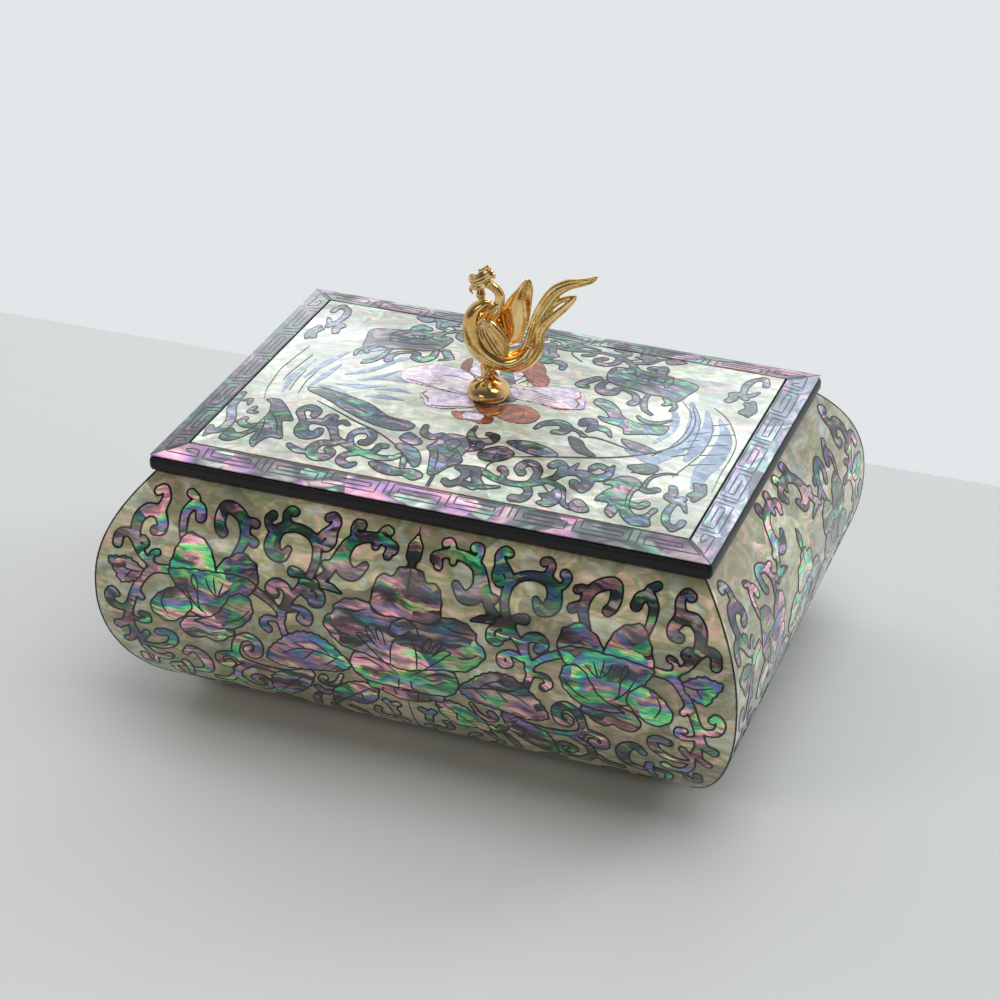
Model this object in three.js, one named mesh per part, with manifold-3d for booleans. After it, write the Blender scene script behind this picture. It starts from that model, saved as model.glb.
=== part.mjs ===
// Card box with bellied walls, a lift-off lid and a cast phoenix knob.
// Millimetres, +Z up. The origin is on the table, under the middle of the box; -Y is the front.

import * as THREE from "three";
import { mergeVertices } from "three/addons/utils/BufferGeometryUtils.js";
import Module from "manifold-3d";

// Lid, measured at its arris, the sharp edge where the pearl ends
const LID_WIDTH = 130;
const LID_DEPTH = 91.8;
const ARRIS_HEIGHT = 63;
const EDGE_THICKNESS = 4.1;
const BORDER_WIDTH = 6.6;
const BORDER_RISE = 1;
const CROWN_RISE = 4;
const CROWN_POWER = 2.4;
const CROWN_STEPS_X = 18;
const CROWN_STEPS_Y = 14;

// Rounded edge of the lid: points of [offset outwards from the arris, height above the underside]
const EDGE_PROFILE = [
  [-1, 0], [-0.45, 0.1], [0.05, 0.45], [0.32, 0.95], [0.4, 1.5], [0.4, 2.5], [0.3, 2.85],
  [0.17, 3.2], [0, 3.5],
];
const EDGE_CORNER_RADIUS = 0.6;
const CORNER_STEPS = 4;

// Walls. Every offset is counted outwards from the rim, the pearl face at its top
const RIM_INSET_X = 0.9;
const RIM_INSET_Y = 0.5;
const RIM_HEIGHT = 58.6;
const FOOT_HEIGHT = 2.4;
const BELLY_HEIGHT = 31.6;
const BELLY_REACH = 11.2;
const SHOULDER_POWER = 2.4;
const SKIRT_HALF_WIDTH = 23.8;
const SKIRT_HALF_HEIGHT = 31.2;
const CAVITY_OFFSET = -7.1;
const FACE_STEPS = 24;

// Sheets, boards and the glue line between neighbours
const GLUE_GAP = 0.3;
const PEARL_SHEET = 0.5;
const PEARL_EDGE = 0.25;
const PEARL_EDGE_RUN = 1.5;
const LINING_BOARD = 1.2;
const LINING_DROP = 1;
const FELT = 0.6;
const FELT_INSET = 1.2;
const BASE_TOP = 5.4;
const BASE_CHAMFER = 0.4;
const FLOOR_PAD = 1.6;

// Locating lip and pad under the lid
const LIP_CLEARANCE = 0.5;
const LIP_WIDTH = 2.5;
const LIP_HEIGHT = 3.9;
const LIP_LEAD_IN = 0.6;
const LID_PAD = 1.7;

// A pad keeps its full size over a share of its thickness and then draws in by its rounding
const PAD_UPRIGHT_SHARE = 0.6;
const PAD_ROUND = 0.6;

// The knob stands a little off the middle of the lid
const KNOB_X = -1;
const KNOB_Y = -1.5;

// Knob fixing
const SCREW_RADIUS = 1.25;
const SCREW_HOLE_RADIUS = 1.6;
const SCREW_TIP_IN_KNOB = 2.7;
const HEAD_RADIUS = 2.8;
const HEAD_HEIGHT = 1.2;
const HEAD_ROUND = 0.5;
const TIP_CHAMFER = 0.4;
const SLOT_WIDTH = 0.7;
const SLOT_DEPTH = 0.5;
const WASHER_RADIUS = 3.6;
const WASHER_THICKNESS = 0.5;
const COUNTERBORE_RADIUS = 4.2;
const COUNTERBORE_DEPTH = 2.4;

// Levels and offsets that follow from them
const RIM_X = LID_WIDTH / 2 - RIM_INSET_X;
const RIM_Y = LID_DEPTH / 2 - RIM_INSET_Y;
const LID_UNDERSIDE = ARRIS_HEIGHT - EDGE_THICKNESS;
const PANEL_EDGE_HEIGHT = ARRIS_HEIGHT + BORDER_RISE;
const PANEL_X = LID_WIDTH / 2 - BORDER_WIDTH;
const PANEL_Y = LID_DEPTH / 2 - BORDER_WIDTH;
const BED_DEPTH = PEARL_SHEET + GLUE_GAP;
const KNOB_FOOT_HEIGHT = PANEL_EDGE_HEIGHT + CROWN_RISE + GLUE_GAP;
const BASE_OFFSET = CAVITY_OFFSET - GLUE_GAP;
const LINING_OFFSET = BASE_OFFSET - LINING_BOARD;
const LIP_OFFSET = LINING_OFFSET - LIP_CLEARANCE;
const LID_PAD_OFFSET = LIP_OFFSET - LIP_WIDTH - GLUE_GAP;

const wasm = await Module();
wasm.setup();

const FINISH = {
  lacquer: { color: 0x0c0c0e, roughness: 0.24, metalness: 0 },
  pearl: { color: 0xcdc4a8, roughness: 0.22, metalness: 0.05 },
  lidPearl: { color: 0xd3d6c4, roughness: 0.16, metalness: 0.05 },
  borderPearl: { color: 0xb4a3b4, roughness: 0.18, metalness: 0.08 },
  velvet: { color: 0x4a1020, roughness: 0.95, metalness: 0 },
  felt: { color: 0x17171a, roughness: 1, metalness: 0 },
  gold: { color: 0xd9a441, roughness: 0.14, metalness: 1 },
  steel: { color: 0xa9abae, roughness: 0.35, metalness: 1 },
};

// A solid from points and triangles that share one sense, turned to face out
function closedGeometry(points, triangles) {
  let volume = 0;
  const normal = new THREE.Vector3();
  for (const [a, b, c] of triangles) {
    volume += points[a].dot(normal.crossVectors(points[b], points[c]));
  }
  const faces = volume < 0 ? triangles.map(([a, b, c]) => [a, c, b]) : triangles;
  const geometry = new THREE.BufferGeometry();
  const position = points.flatMap((point) => point.toArray());
  geometry.setAttribute("position", new THREE.Float32BufferAttribute(position, 3));
  geometry.setIndex(faces.flat());
  return geometry;
}

function toManifold(geometry) {
  const bare = geometry.clone();
  bare.deleteAttribute("normal");
  bare.deleteAttribute("uv");
  const merged = mergeVertices(bare, 1e-4);
  const mesh = new wasm.Mesh({
    numProp: 3,
    vertProperties: new Float32Array(merged.attributes.position.array),
    triVerts: new Uint32Array(merged.index.array),
  });
  return new wasm.Manifold(mesh);
}

function fromManifold(manifold) {
  const mesh = manifold.getMesh();
  const geometry = new THREE.BufferGeometry();
  const position = new Float32Array(mesh.vertProperties);
  geometry.setAttribute("position", new THREE.BufferAttribute(position, 3));
  geometry.setIndex(new THREE.BufferAttribute(new Uint32Array(mesh.triVerts), 1));
  return geometry;
}

const joined = (solids) => solids.map(toManifold).reduce((whole, next) => whole.add(next));
const cut = (solid, tools) => tools.reduce((whole, tool) => whole.subtract(toManifold(tool)), solid);

// A solid through rings of points, its first and last ring closed by flat caps
function loft(rings, cap) {
  const count = rings[0].length;
  const last = (rings.length - 1) * count;
  const fan = rings[0].slice(2).map((_, k) => [0, k + 1, k + 2]);
  const triangles = [];
  for (const [a, b, c] of cap ?? fan) {
    triangles.push([a, b, c], [last + a, last + c, last + b]);
  }
  for (let start = 0; start < last; start += count) {
    for (let i = 0; i < count; i += 1) {
      const [p, q] = [start + i, start + ((i + 1) % count)];
      triangles.push([q, p, p + count], [q, p + count, q + count]);
    }
  }
  return closedGeometry(rings.flat(), triangles);
}

// A block built of rectangles: each level is an offset outwards from the half sizes, and a height.
// Its upright corners are sharp, or round with that radius at offset 0.
function rectangularLoft(halfX, halfY, levels, radius = 0) {
  const corners = [[-1, -1, 2], [1, -1, 3], [1, 1, 0], [-1, 1, 1]];
  const steps = radius > 0 ? CORNER_STEPS : 0;
  return loft(levels.map(([offset, z]) => {
    const round = Math.max(radius + offset, radius / 3);
    return corners.flatMap(([sx, sy, quarter]) => Array.from({ length: steps + 1 }, (_, k) => {
      const angle = (quarter + k / Math.max(steps, 1)) * (Math.PI / 2);
      return new THREE.Vector3(
        sx * (halfX + offset - round) + round * Math.cos(angle),
        sy * (halfY + offset - round) + round * Math.sin(angle),
        z,
      );
    }));
  }));
}

// One member of a mitred frame: an outline of [offset, height] points carried along X, its ends
// cut at 45 degrees and drawn back by half the glue line. It lies at -Y, that far from the middle.
function frameMember(outline, halfRun, distance) {
  const drawBack = (GLUE_GAP / 2) * Math.SQRT2;
  const flat = outline.map(([offset, z]) => new THREE.Vector2(offset, z));
  if (THREE.ShapeUtils.isClockWise(flat)) flat.reverse();
  const ring = (side) => flat.map(({ x: offset, y: z }) => (
    new THREE.Vector3(side * (halfRun + offset - drawBack), -(distance + offset), z)
  ));
  return loft([ring(-1), ring(1)], THREE.ShapeUtils.triangulateShape(flat, []));
}

// A round solid about the vertical axis, from its outline of [radius, height]
function turned(outline, sides) {
  const profile = outline.map(([radius, z]) => new THREE.Vector2(radius, z));
  return new THREE.LatheGeometry(profile, sides).rotateX(Math.PI / 2);
}

const disc = (radius, low, high) => turned([[0, low], [radius, low], [radius, high], [0, high]], 32);

// A round hole through the lid on the axis of the knob
const knobHole = (radius, low, high) => disc(radius, low, high).translate(KNOB_X, KNOB_Y, 0);

// A block whose top and bottom are surfaces over a grid
function surfaceBlock(halfX, halfY, topAt, bottomAt) {
  const columns = CROWN_STEPS_X + 1;
  const rows = CROWN_STEPS_Y + 1;
  const points = [];
  for (const heightAt of [topAt, bottomAt]) {
    for (let j = 0; j < rows; j += 1) {
      for (let i = 0; i < columns; i += 1) {
        const x = halfX * ((2 * i) / CROWN_STEPS_X - 1);
        const y = halfY * ((2 * j) / CROWN_STEPS_Y - 1);
        points.push(new THREE.Vector3(x, y, heightAt(x, y)));
      }
    }
  }
  const under = rows * columns;
  const triangles = [];
  for (let j = 0; j < CROWN_STEPS_Y; j += 1) {
    for (let i = 0; i < CROWN_STEPS_X; i += 1) {
      const a = j * columns + i;
      const [b, c, d] = [a + 1, a + columns + 1, a + columns];
      triangles.push([a, b, c], [a, c, d]);
      triangles.push([a + under, c + under, b + under], [a + under, d + under, c + under]);
    }
  }
  const front = Array.from({ length: CROWN_STEPS_X }, (_, i) => i);
  const right = Array.from({ length: CROWN_STEPS_Y }, (_, j) => (j + 1) * columns - 1);
  const back = front.map((i) => under - 1 - i);
  const left = right.map((k) => under - 1 - k);
  const edge = [...front, ...right, ...back, ...left];
  edge.forEach((p, k) => {
    const q = edge[(k + 1) % edge.length];
    triangles.push([q, p, p + under], [q, p + under, q + under]);
  });
  return closedGeometry(points, triangles);
}

// How far the pearl face of a wall stands outside the rim at a height: a power curve from the
// rim down to the belly, then a quarter ellipse that rolls under towards the foot
function faceOffset(z) {
  if (z >= BELLY_HEIGHT) {
    const share = (z - BELLY_HEIGHT) / (RIM_HEIGHT - BELLY_HEIGHT);
    return BELLY_REACH * (1 - share ** SHOULDER_POWER);
  }
  const drop = (BELLY_HEIGHT - z) / SKIRT_HALF_HEIGHT;
  return BELLY_REACH - SKIRT_HALF_WIDTH * (1 - Math.sqrt(1 - drop ** 2));
}

// The same face sunk by a depth along its normal, as a function of height again
function sunkFaceOffset(depth) {
  const samples = 600;
  const nudge = 0.01;
  const low = BELLY_HEIGHT - SKIRT_HALF_HEIGHT + 2 * nudge;
  const high = RIM_HEIGHT + 2 * depth;
  const sunk = [];
  for (let i = 0; i <= samples; i += 1) {
    const z = low + ((high - low) * i) / samples;
    const slope = (faceOffset(z + nudge) - faceOffset(z - nudge)) / (2 * nudge);
    const length = Math.hypot(1, slope);
    sunk.push([faceOffset(z) - depth / length, z + (depth * slope) / length]);
  }
  return (z) => {
    const above = sunk.findIndex(([, height]) => height >= z);
    const [[b0, z0], [b1, z1]] = [sunk[above - 1], sunk[above]];
    return b0 + ((b1 - b0) * (z - z0)) / (z1 - z0);
  };
}

// Points down a wall face, from the rim to the foot, closer together where it rolls under
function faceRun(offsetAt) {
  return Array.from({ length: FACE_STEPS + 1 }, (_, i) => {
    const share = 1 - (1 - i / FACE_STEPS) ** 1.3;
    const z = RIM_HEIGHT + (FOOT_HEIGHT - RIM_HEIGHT) * share;
    return [offsetAt(z), z];
  });
}

function wallOutline() {
  const inside = [[CAVITY_OFFSET, FOOT_HEIGHT], [CAVITY_OFFSET, RIM_HEIGHT]];
  return [...faceRun(sunkFaceOffset(BED_DEPTH)), ...inside];
}

function shellOutline() {
  return [...faceRun(faceOffset), ...faceRun(sunkFaceOffset(PEARL_SHEET)).reverse()];
}

function liningOutline() {
  const [low, high] = [BASE_TOP + GLUE_GAP, RIM_HEIGHT - LINING_DROP];
  const round = LINING_BOARD / 3;
  return [
    [BASE_OFFSET, low], [LINING_OFFSET, low], [LINING_OFFSET, high - round],
    [LINING_OFFSET + round, high], [BASE_OFFSET - round, high], [BASE_OFFSET, high - round],
  ];
}

function lipOutline() {
  const high = LID_UNDERSIDE - GLUE_GAP;
  const low = high - LIP_HEIGHT;
  const inner = LIP_OFFSET - LIP_WIDTH;
  return [
    [LIP_OFFSET, high], [LIP_OFFSET, low + 2 * LIP_LEAD_IN], [LIP_OFFSET - LIP_LEAD_IN, low],
    [inner + LIP_LEAD_IN / 2, low], [inner, low + LIP_LEAD_IN / 2], [inner, high],
  ];
}

// Height of the lid's pearl border over its width, from the arris inwards
const borderHeight = (inwards) => ARRIS_HEIGHT + (BORDER_RISE * inwards) / BORDER_WIDTH;

// The border sheet is thinned towards the arris
function borderOutline() {
  const inner = BORDER_WIDTH - GLUE_GAP;
  return [
    [0, borderHeight(0)], [-inner, borderHeight(inner)], [-inner, borderHeight(inner) - PEARL_SHEET],
    [-PEARL_EDGE_RUN, borderHeight(PEARL_EDGE_RUN) - PEARL_SHEET], [0, borderHeight(0) - PEARL_EDGE],
  ];
}

// Height of the cushioned panel: it falls away from the middle along both axes
function panelHeight(x, y) {
  const along = 1 - Math.abs(x / PANEL_X) ** CROWN_POWER;
  const across = 1 - Math.abs(y / PANEL_Y) ** CROWN_POWER;
  return PANEL_EDGE_HEIGHT + CROWN_RISE * along * across;
}

// The lid board: its rounded edge, the sloping bed of the border and the cushioned bed of the
// panel, with the screw hole and the counterbore under it
function lidBoard() {
  const edge = EDGE_PROFILE.map(([offset, rise]) => [offset, LID_UNDERSIDE + rise]);
  const [, shoulder] = edge[edge.length - 1];
  const slab = rectangularLoft(LID_WIDTH / 2, LID_DEPTH / 2, [
    ...edge, [-PEARL_EDGE_RUN, shoulder], [-BORDER_WIDTH, PANEL_EDGE_HEIGHT - BED_DEPTH],
  ], EDGE_CORNER_RADIUS);
  const middle = LID_UNDERSIDE + EDGE_THICKNESS / 2;
  const bed = surfaceBlock(PANEL_X, PANEL_Y, (x, y) => panelHeight(x, y) - BED_DEPTH, () => middle);
  const below = LID_UNDERSIDE - 1;
  return fromManifold(cut(joined([slab, bed]), [
    knobHole(SCREW_HOLE_RADIUS, below, KNOB_FOOT_HEIGHT),
    knobHole(COUNTERBORE_RADIUS, below, LID_UNDERSIDE + COUNTERBORE_DEPTH),
  ]));
}

function lidPanel() {
  const underneath = (x, y) => panelHeight(x, y) - PEARL_SHEET;
  const sheet = surfaceBlock(PANEL_X - GLUE_GAP, PANEL_Y - GLUE_GAP, panelHeight, underneath);
  const hole = knobHole(SCREW_HOLE_RADIUS, LID_UNDERSIDE, KNOB_FOOT_HEIGHT + 1);
  return fromManifold(cut(toManifold(sheet), [hole]));
}

// A slotted pan-head screw, its shank reaching up into the knob's foot
function knobScrew() {
  const low = LID_UNDERSIDE + GLUE_GAP / 2;
  const high = low + HEAD_HEIGHT;
  const tip = KNOB_FOOT_HEIGHT + SCREW_TIP_IN_KNOB;
  const body = turned([
    [0, low], [HEAD_RADIUS - HEAD_ROUND, low], [HEAD_RADIUS, low + HEAD_ROUND], [HEAD_RADIUS, high],
    [SCREW_RADIUS, high], [SCREW_RADIUS, tip - TIP_CHAMFER], [SCREW_RADIUS - TIP_CHAMFER, tip], [0, tip],
  ], 28);
  const slot = new THREE.BoxGeometry(3 * HEAD_RADIUS, SLOT_WIDTH, 2 * SLOT_DEPTH);
  return fromManifold(cut(toManifold(body), [slot.translate(0, 0, low)]));
}

function knobWasher() {
  const high = LID_UNDERSIDE + COUNTERBORE_DEPTH - GLUE_GAP;
  const low = high - WASHER_THICKNESS;
  return turned([
    [SCREW_HOLE_RADIUS, low], [WASHER_RADIUS, low], [WASHER_RADIUS, high], [SCREW_HOLE_RADIUS, high],
    [SCREW_HOLE_RADIUS, low],
  ], 32);
}

// A cast form swept along a spine. Each row of the spine is x, y, z, the half width in the plane
// of the bird and the half depth across it; one smooth curve carries all five.
function castForm(rows, steps, sides, lean = 0) {
  const spine = new THREE.CatmullRomCurve3(rows.map(([x, y, z]) => new THREE.Vector3(x, y, z)));
  const girth = new THREE.CatmullRomCurve3(rows.map(([, , , a, d]) => new THREE.Vector3(a, d, 0)));
  const across = new THREE.Vector3(0, Math.cos(lean), Math.sin(lean));
  const rings = [];
  for (let i = 0; i <= steps; i += 1) {
    const t = i / steps;
    const centre = spine.getPoint(t);
    const tangent = spine.getTangent(t);
    const wide = new THREE.Vector3().crossVectors(tangent, across).normalize();
    const deep = new THREE.Vector3().crossVectors(wide, tangent).normalize();
    const size = girth.getPoint(t);
    rings.push(Array.from({ length: sides }, (_, k) => {
      const angle = (2 * Math.PI * k) / sides;
      return centre.clone()
        .addScaledVector(wide, Math.max(size.x, THINNEST_CAST) * Math.cos(angle))
        .addScaledVector(deep, Math.max(size.y, THINNEST_CAST) * Math.sin(angle));
    }));
  }
  return loft(rings);
}

const THINNEST_CAST = 0.08;

// The trunk: from the top of the breast round the belly to the root of the tail
const TRUNK = [
  [0.9, 0, 22.6, 0.3, 0.4], [-1.3, 0, 22.1, 1.1, 1.3], [-3.3, 0, 20.3, 1.7, 1.9],
  [-4.0, 0, 17.6, 2.3, 2.4], [-3.4, 0, 14.6, 2.9, 2.9], [-1.4, 0, 11.7, 3.1, 3.1],
  [1.4, 0, 10.1, 2.7, 2.9], [4.6, 0, 9.6, 2.1, 2.3], [7.4, 0, 10.6, 1.5, 1.5],
];
const NECK = [
  [-2.2, 0, 27.6, 0.8, 0.8], [-0.4, 0, 28.1, 1.0, 0.95], [1.3, 0, 27.5, 1.05, 1.0],
  [2.2, 0, 25.8, 1.05, 1.0], [2.2, 0, 23.8, 1.15, 1.1], [1.2, 0, 21.6, 1.5, 1.3],
  [-0.4, 0, 19.4, 2.1, 1.9], [-1.9, 0, 16.8, 2.2, 2.2],
];
const HEAD = [
  [0.3, 0, 27.8, 0.6, 0.7], [-1.4, 0, 27.6, 1.25, 1.15], [-3.1, 0, 27.1, 1.05, 0.95],
  [-4.2, 0, 26.4, 0.5, 0.5],
];
const BEAK = [
  [-3.2, 0, 27.0, 0.9, 0.7], [-4.4, 0, 26.6, 0.55, 0.45], [-4.7, 0, 25.9, 0.35, 0.3],
  [-4.3, 0, 25.2, 0.1, 0.1],
];
const WATTLE = [
  [-2.3, 0, 26.6, 0.5, 0.5], [-2.35, 0, 25.6, 1.0, 0.95], [-2.3, 0, 24.8, 1.05, 0.95],
  [-2.2, 0, 23.2, 0.6, 0.6],
];

// The crown: four curled lobes laid over each other, the largest lowest
const CROWN = [
  [
    [-5.2, 0, 28.4, 0.3, 0.4], [-4.1, 0, 28.3, 0.7, 0.9], [-1.8, 0, 28.7, 0.75, 1.1],
    [0.4, 0, 29.4, 0.3, 0.4],
  ],
  [
    [-5.1, 0, 29.0, 0.3, 0.3], [-3.8, 0, 29.4, 0.65, 0.8], [-1.2, 0, 30.0, 0.7, 1.0],
    [1.1, 0, 31.0, 0.3, 0.4],
  ],
  [
    [-4.0, 0, 30.3, 0.3, 0.3], [-2.8, 0, 30.7, 0.6, 0.7], [-0.8, 0, 31.1, 0.6, 0.8],
    [0.6, 0, 31.6, 0.3, 0.3],
  ],
  [
    [-2.9, 0, 31.5, 0.25, 0.3], [-2.0, 0, 31.9, 0.5, 0.6], [-1.0, 0, 32.2, 0.4, 0.5],
    [-0.2, 0, 31.9, 0.2, 0.3],
  ],
];

// Three long tail feathers that leave the trunk side by side and part at their tips
const TAIL = [
  [
    [2.6, 0.3, 11.0, 0.9, 1.2], [6.4, 0.4, 11.1, 1.2, 1.4], [9.2, 0.4, 14.4, 1.25, 1.3],
    [10.9, 0.3, 19.4, 1.2, 1.2], [12.6, 0.2, 23.8, 1.15, 1.1], [14.8, 0.2, 27.6, 1.2, 1.0],
    [18.4, 0.2, 30.9, 1.2, 0.9], [22.3, 0.1, 32.2, 0.9, 0.7], [25.3, 0, 34.3, 0.15, 0.2],
  ],
  [
    [3.4, 1.0, 9.8, 0.9, 1.0], [7.0, 1.1, 9.9, 1.1, 1.2], [9.7, 1.2, 12.4, 1.1, 1.1],
    [11.3, 1.3, 16.4, 1.0, 1.0], [12.4, 1.4, 20.4, 1.0, 0.9], [14.4, 1.6, 24.2, 0.95, 0.8],
    [17.0, 1.8, 26.8, 0.7, 0.7], [20.6, 1.8, 28.9, 0.15, 0.2],
  ],
  [
    [3.0, -0.3, 8.5, 1.0, 1.2], [6.4, -0.4, 8.8, 1.3, 1.4], [9.0, -0.4, 10.4, 1.2, 1.3],
    [11.2, -0.4, 13.4, 1.15, 1.2], [12.4, -0.4, 17.2, 1.1, 1.1], [14.2, -0.3, 20.8, 1.1, 1.0],
    [17.0, -0.2, 23.9, 1.0, 0.8], [20.5, 0, 28.0, 0.15, 0.2],
  ],
];

// Wings: one raised behind the back, one folded on the near flank, each of two overlapping parts
const RAISED_WING = [
  [
    [0.4, 1.6, 13.6, 1.2, 0.7], [3.1, 2.5, 17.2, 2.8, 0.6], [5.0, 3.1, 21.2, 3.0, 0.5],
    [6.9, 3.4, 25.4, 2.0, 0.4], [7.8, 3.4, 28.2, 1.2, 0.35], [7.9, 3.4, 29.5, 0.3, 0.2],
  ],
  [
    [2.6, 2.2, 13.2, 0.6, 0.5], [5.4, 2.8, 16.4, 1.3, 0.45], [7.4, 3.2, 20.2, 1.3, 0.4],
    [8.3, 3.4, 24.4, 0.9, 0.35], [8.6, 3.4, 27.6, 0.2, 0.2],
  ],
];
const FOLDED_WING = [
  [
    [-2.0, -1.9, 19.6, 0.7, 0.6], [0.4, -2.6, 18.5, 1.6, 0.8], [2.8, -3.0, 16.6, 1.5, 0.7],
    [4.8, -3.0, 14.6, 0.8, 0.5], [5.9, -2.8, 12.8, 0.15, 0.2],
  ],
  [
    [-1.6, -2.0, 18.2, 0.7, 0.6], [0.4, -2.9, 16.4, 1.5, 0.7], [2.8, -3.0, 13.9, 1.3, 0.6],
    [4.9, -2.6, 11.4, 0.2, 0.3],
  ],
];
const LEG = [
  [0.1, 0.75, 9.0, 1.4, 1.0], [-0.3, 0.75, 6.6, 1.3, 0.85], [-0.4, 0.7, 4.8, 1.2, 0.8],
  [-0.4, 0.7, 3.0, 1.5, 1.0],
];
const TOE = [
  [-0.3, 0, 4.6, 0.6, 0.6], [1.3, 0, 4.1, 0.5, 0.5], [2.9, 0, 3.3, 0.42, 0.42], [4.0, 0, 2.2, 0.15, 0.15],
];
const TOE_ANGLES = [115, 165, 215, 260];
const SPUR = [[0.2, 0, 6.3, 0.6, 0.7], [1.3, 0, 6.1, 0.45, 0.5], [2.4, 0, 6.5, 0.12, 0.12]];

// The round foot under the bird
const FOOT = [
  [0, 0], [4.2, 0], [4.85, 0.5], [5.05, 1.2], [4.9, 2.0], [4.3, 2.9], [3.2, 3.7], [1.8, 4.3], [0, 4.5],
];

const mirrored = (rows) => rows.map(([x, y, ...rest]) => [x, -y, ...rest]);

function phoenixKnob() {
  const toes = TOE_ANGLES.map((degrees) => castForm(TOE, 4, 6).rotateZ(THREE.MathUtils.degToRad(degrees)));
  const forms = [
    castForm(TRUNK, 20, 16), castForm(NECK, 16, 12), castForm(HEAD, 7, 10), castForm(BEAK, 6, 8),
    castForm(WATTLE, 7, 10), castForm(SPUR, 3, 6), castForm(LEG, 5, 10), castForm(mirrored(LEG), 5, 10),
    ...CROWN.map((lobe) => castForm(lobe, 6, 8)),
    ...TAIL.map((feather) => castForm(feather, 22, 10)),
    ...RAISED_WING.map((feather) => castForm(feather, 12, 10, 0.25)),
    ...FOLDED_WING.map((feather) => castForm(feather, 10, 10, 0.3)),
    ...toes,
    turned(FOOT, 40),
  ];
  // The casting is solid: its outer skin is kept, and a hollow closed in between forms is filled
  const [skin] = joined(forms).decompose().sort((a, b) => b.volume() - a.volume());
  const socket = disc(SCREW_HOLE_RADIUS, -1, SCREW_TIP_IN_KNOB + GLUE_GAP);
  return fromManifold(cut(skin, [socket]));
}

const box = new THREE.Group();

// The levels of a pad from its back to its face, which is drawn in
const padLevels = (offset, back, face, inset) => [
  [offset, back], [offset, back + (face - back) * PAD_UPRIGHT_SHARE], [offset - inset, face],
];

function addNode(name, geometry, finish, parent = box) {
  const mesh = new THREE.Mesh(geometry, new THREE.MeshStandardMaterial(finish));
  mesh.name = name;
  parent.add(mesh);
  return mesh;
}

// Four mitred members round a rectangle; front and back are alike, and so are left and right
function addFrame(name, outline, halfX, halfY, finish) {
  const sides = [
    ["front", 0, halfX, halfY], ["right", 90, halfY, halfX],
    ["back", 180, halfX, halfY], ["left", 270, halfY, halfX],
  ];
  for (const [side, degrees, halfRun, distance] of sides) {
    const member = addNode(`${name}_${side}`, frameMember(outline, halfRun, distance), finish);
    member.rotation.z = THREE.MathUtils.degToRad(degrees);
  }
}

const boardTop = FELT + GLUE_GAP;
addNode("base_felt", rectangularLoft(RIM_X, RIM_Y, [
  [BASE_OFFSET - FELT_INSET, 0], [BASE_OFFSET - FELT_INSET, FELT],
]), FINISH.felt);
addNode("base_board", rectangularLoft(RIM_X, RIM_Y, [
  [BASE_OFFSET - BASE_CHAMFER, boardTop], [BASE_OFFSET, boardTop + BASE_CHAMFER], [BASE_OFFSET, BASE_TOP],
]), FINISH.lacquer);
addFrame("wall", wallOutline(), RIM_X, RIM_Y, FINISH.lacquer);
addFrame("shell", shellOutline(), RIM_X, RIM_Y, FINISH.pearl);
addFrame("lining", liningOutline(), RIM_X, RIM_Y, FINISH.velvet);
const padBack = BASE_TOP + GLUE_GAP;
addNode("floor_pad", rectangularLoft(
  RIM_X, RIM_Y, padLevels(LINING_OFFSET - GLUE_GAP, padBack, padBack + FLOOR_PAD, PAD_ROUND),
), FINISH.velvet);

addNode("lid_board", lidBoard(), FINISH.lacquer);
addFrame("lid_border", borderOutline(), LID_WIDTH / 2, LID_DEPTH / 2, FINISH.borderPearl);
addNode("lid_panel", lidPanel(), FINISH.lidPearl);
addFrame("lid_lip", lipOutline(), RIM_X, RIM_Y, FINISH.lacquer);
const lidPadBack = LID_UNDERSIDE - GLUE_GAP;
addNode("lid_pad", rectangularLoft(
  RIM_X, RIM_Y, padLevels(LID_PAD_OFFSET, lidPadBack, lidPadBack - LID_PAD, PAD_ROUND),
), FINISH.velvet);
addNode("knob_screw", knobScrew(), FINISH.steel).position.set(KNOB_X, KNOB_Y, 0);
addNode("knob_washer", knobWasher(), FINISH.steel).position.set(KNOB_X, KNOB_Y, 0);
addNode("phoenix_knob", phoenixKnob(), FINISH.gold).position.set(KNOB_X, KNOB_Y, KNOB_FOOT_HEIGHT);

export default box;
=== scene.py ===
"""Looks of the card box: abalone and pearl inlay under clear lacquer, a rounded black edge, a gilt phoenix,
velvet and felt.

Lengths in the classes are millimetres, as in the CAD; every mesh is written in metres. The inlay is drawn as
distance fields on a flat grid, cut out along their zero lines and laid on the face as thin closed sheets.
"""

import logging
from dataclasses import dataclass, field
from enum import Enum
from typing import Any, Callable, Iterable, Optional, Sequence, Union

import bpy
import numpy as np
from mathutils import Matrix, Vector


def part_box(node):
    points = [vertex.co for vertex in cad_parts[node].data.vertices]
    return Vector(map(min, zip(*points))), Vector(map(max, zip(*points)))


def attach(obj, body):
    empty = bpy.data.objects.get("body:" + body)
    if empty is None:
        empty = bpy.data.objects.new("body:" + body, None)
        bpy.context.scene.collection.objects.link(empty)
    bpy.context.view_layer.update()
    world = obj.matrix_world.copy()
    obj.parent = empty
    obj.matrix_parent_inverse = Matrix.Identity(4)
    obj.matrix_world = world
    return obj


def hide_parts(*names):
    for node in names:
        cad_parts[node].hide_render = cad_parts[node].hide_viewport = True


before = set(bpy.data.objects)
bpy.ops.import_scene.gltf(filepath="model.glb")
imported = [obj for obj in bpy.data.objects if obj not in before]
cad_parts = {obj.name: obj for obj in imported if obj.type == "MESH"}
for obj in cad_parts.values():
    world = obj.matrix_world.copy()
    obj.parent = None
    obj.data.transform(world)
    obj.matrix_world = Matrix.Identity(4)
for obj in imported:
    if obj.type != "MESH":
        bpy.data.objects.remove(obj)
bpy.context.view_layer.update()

MM = 0.001
TINY = 1e-9
FAR = 9.0
LOG = logging.getLogger("card_box")
Array = np.ndarray
Placer = Callable[[Array, Array, float], Array]
Colour = Point = tuple[float, float, float]
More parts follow.
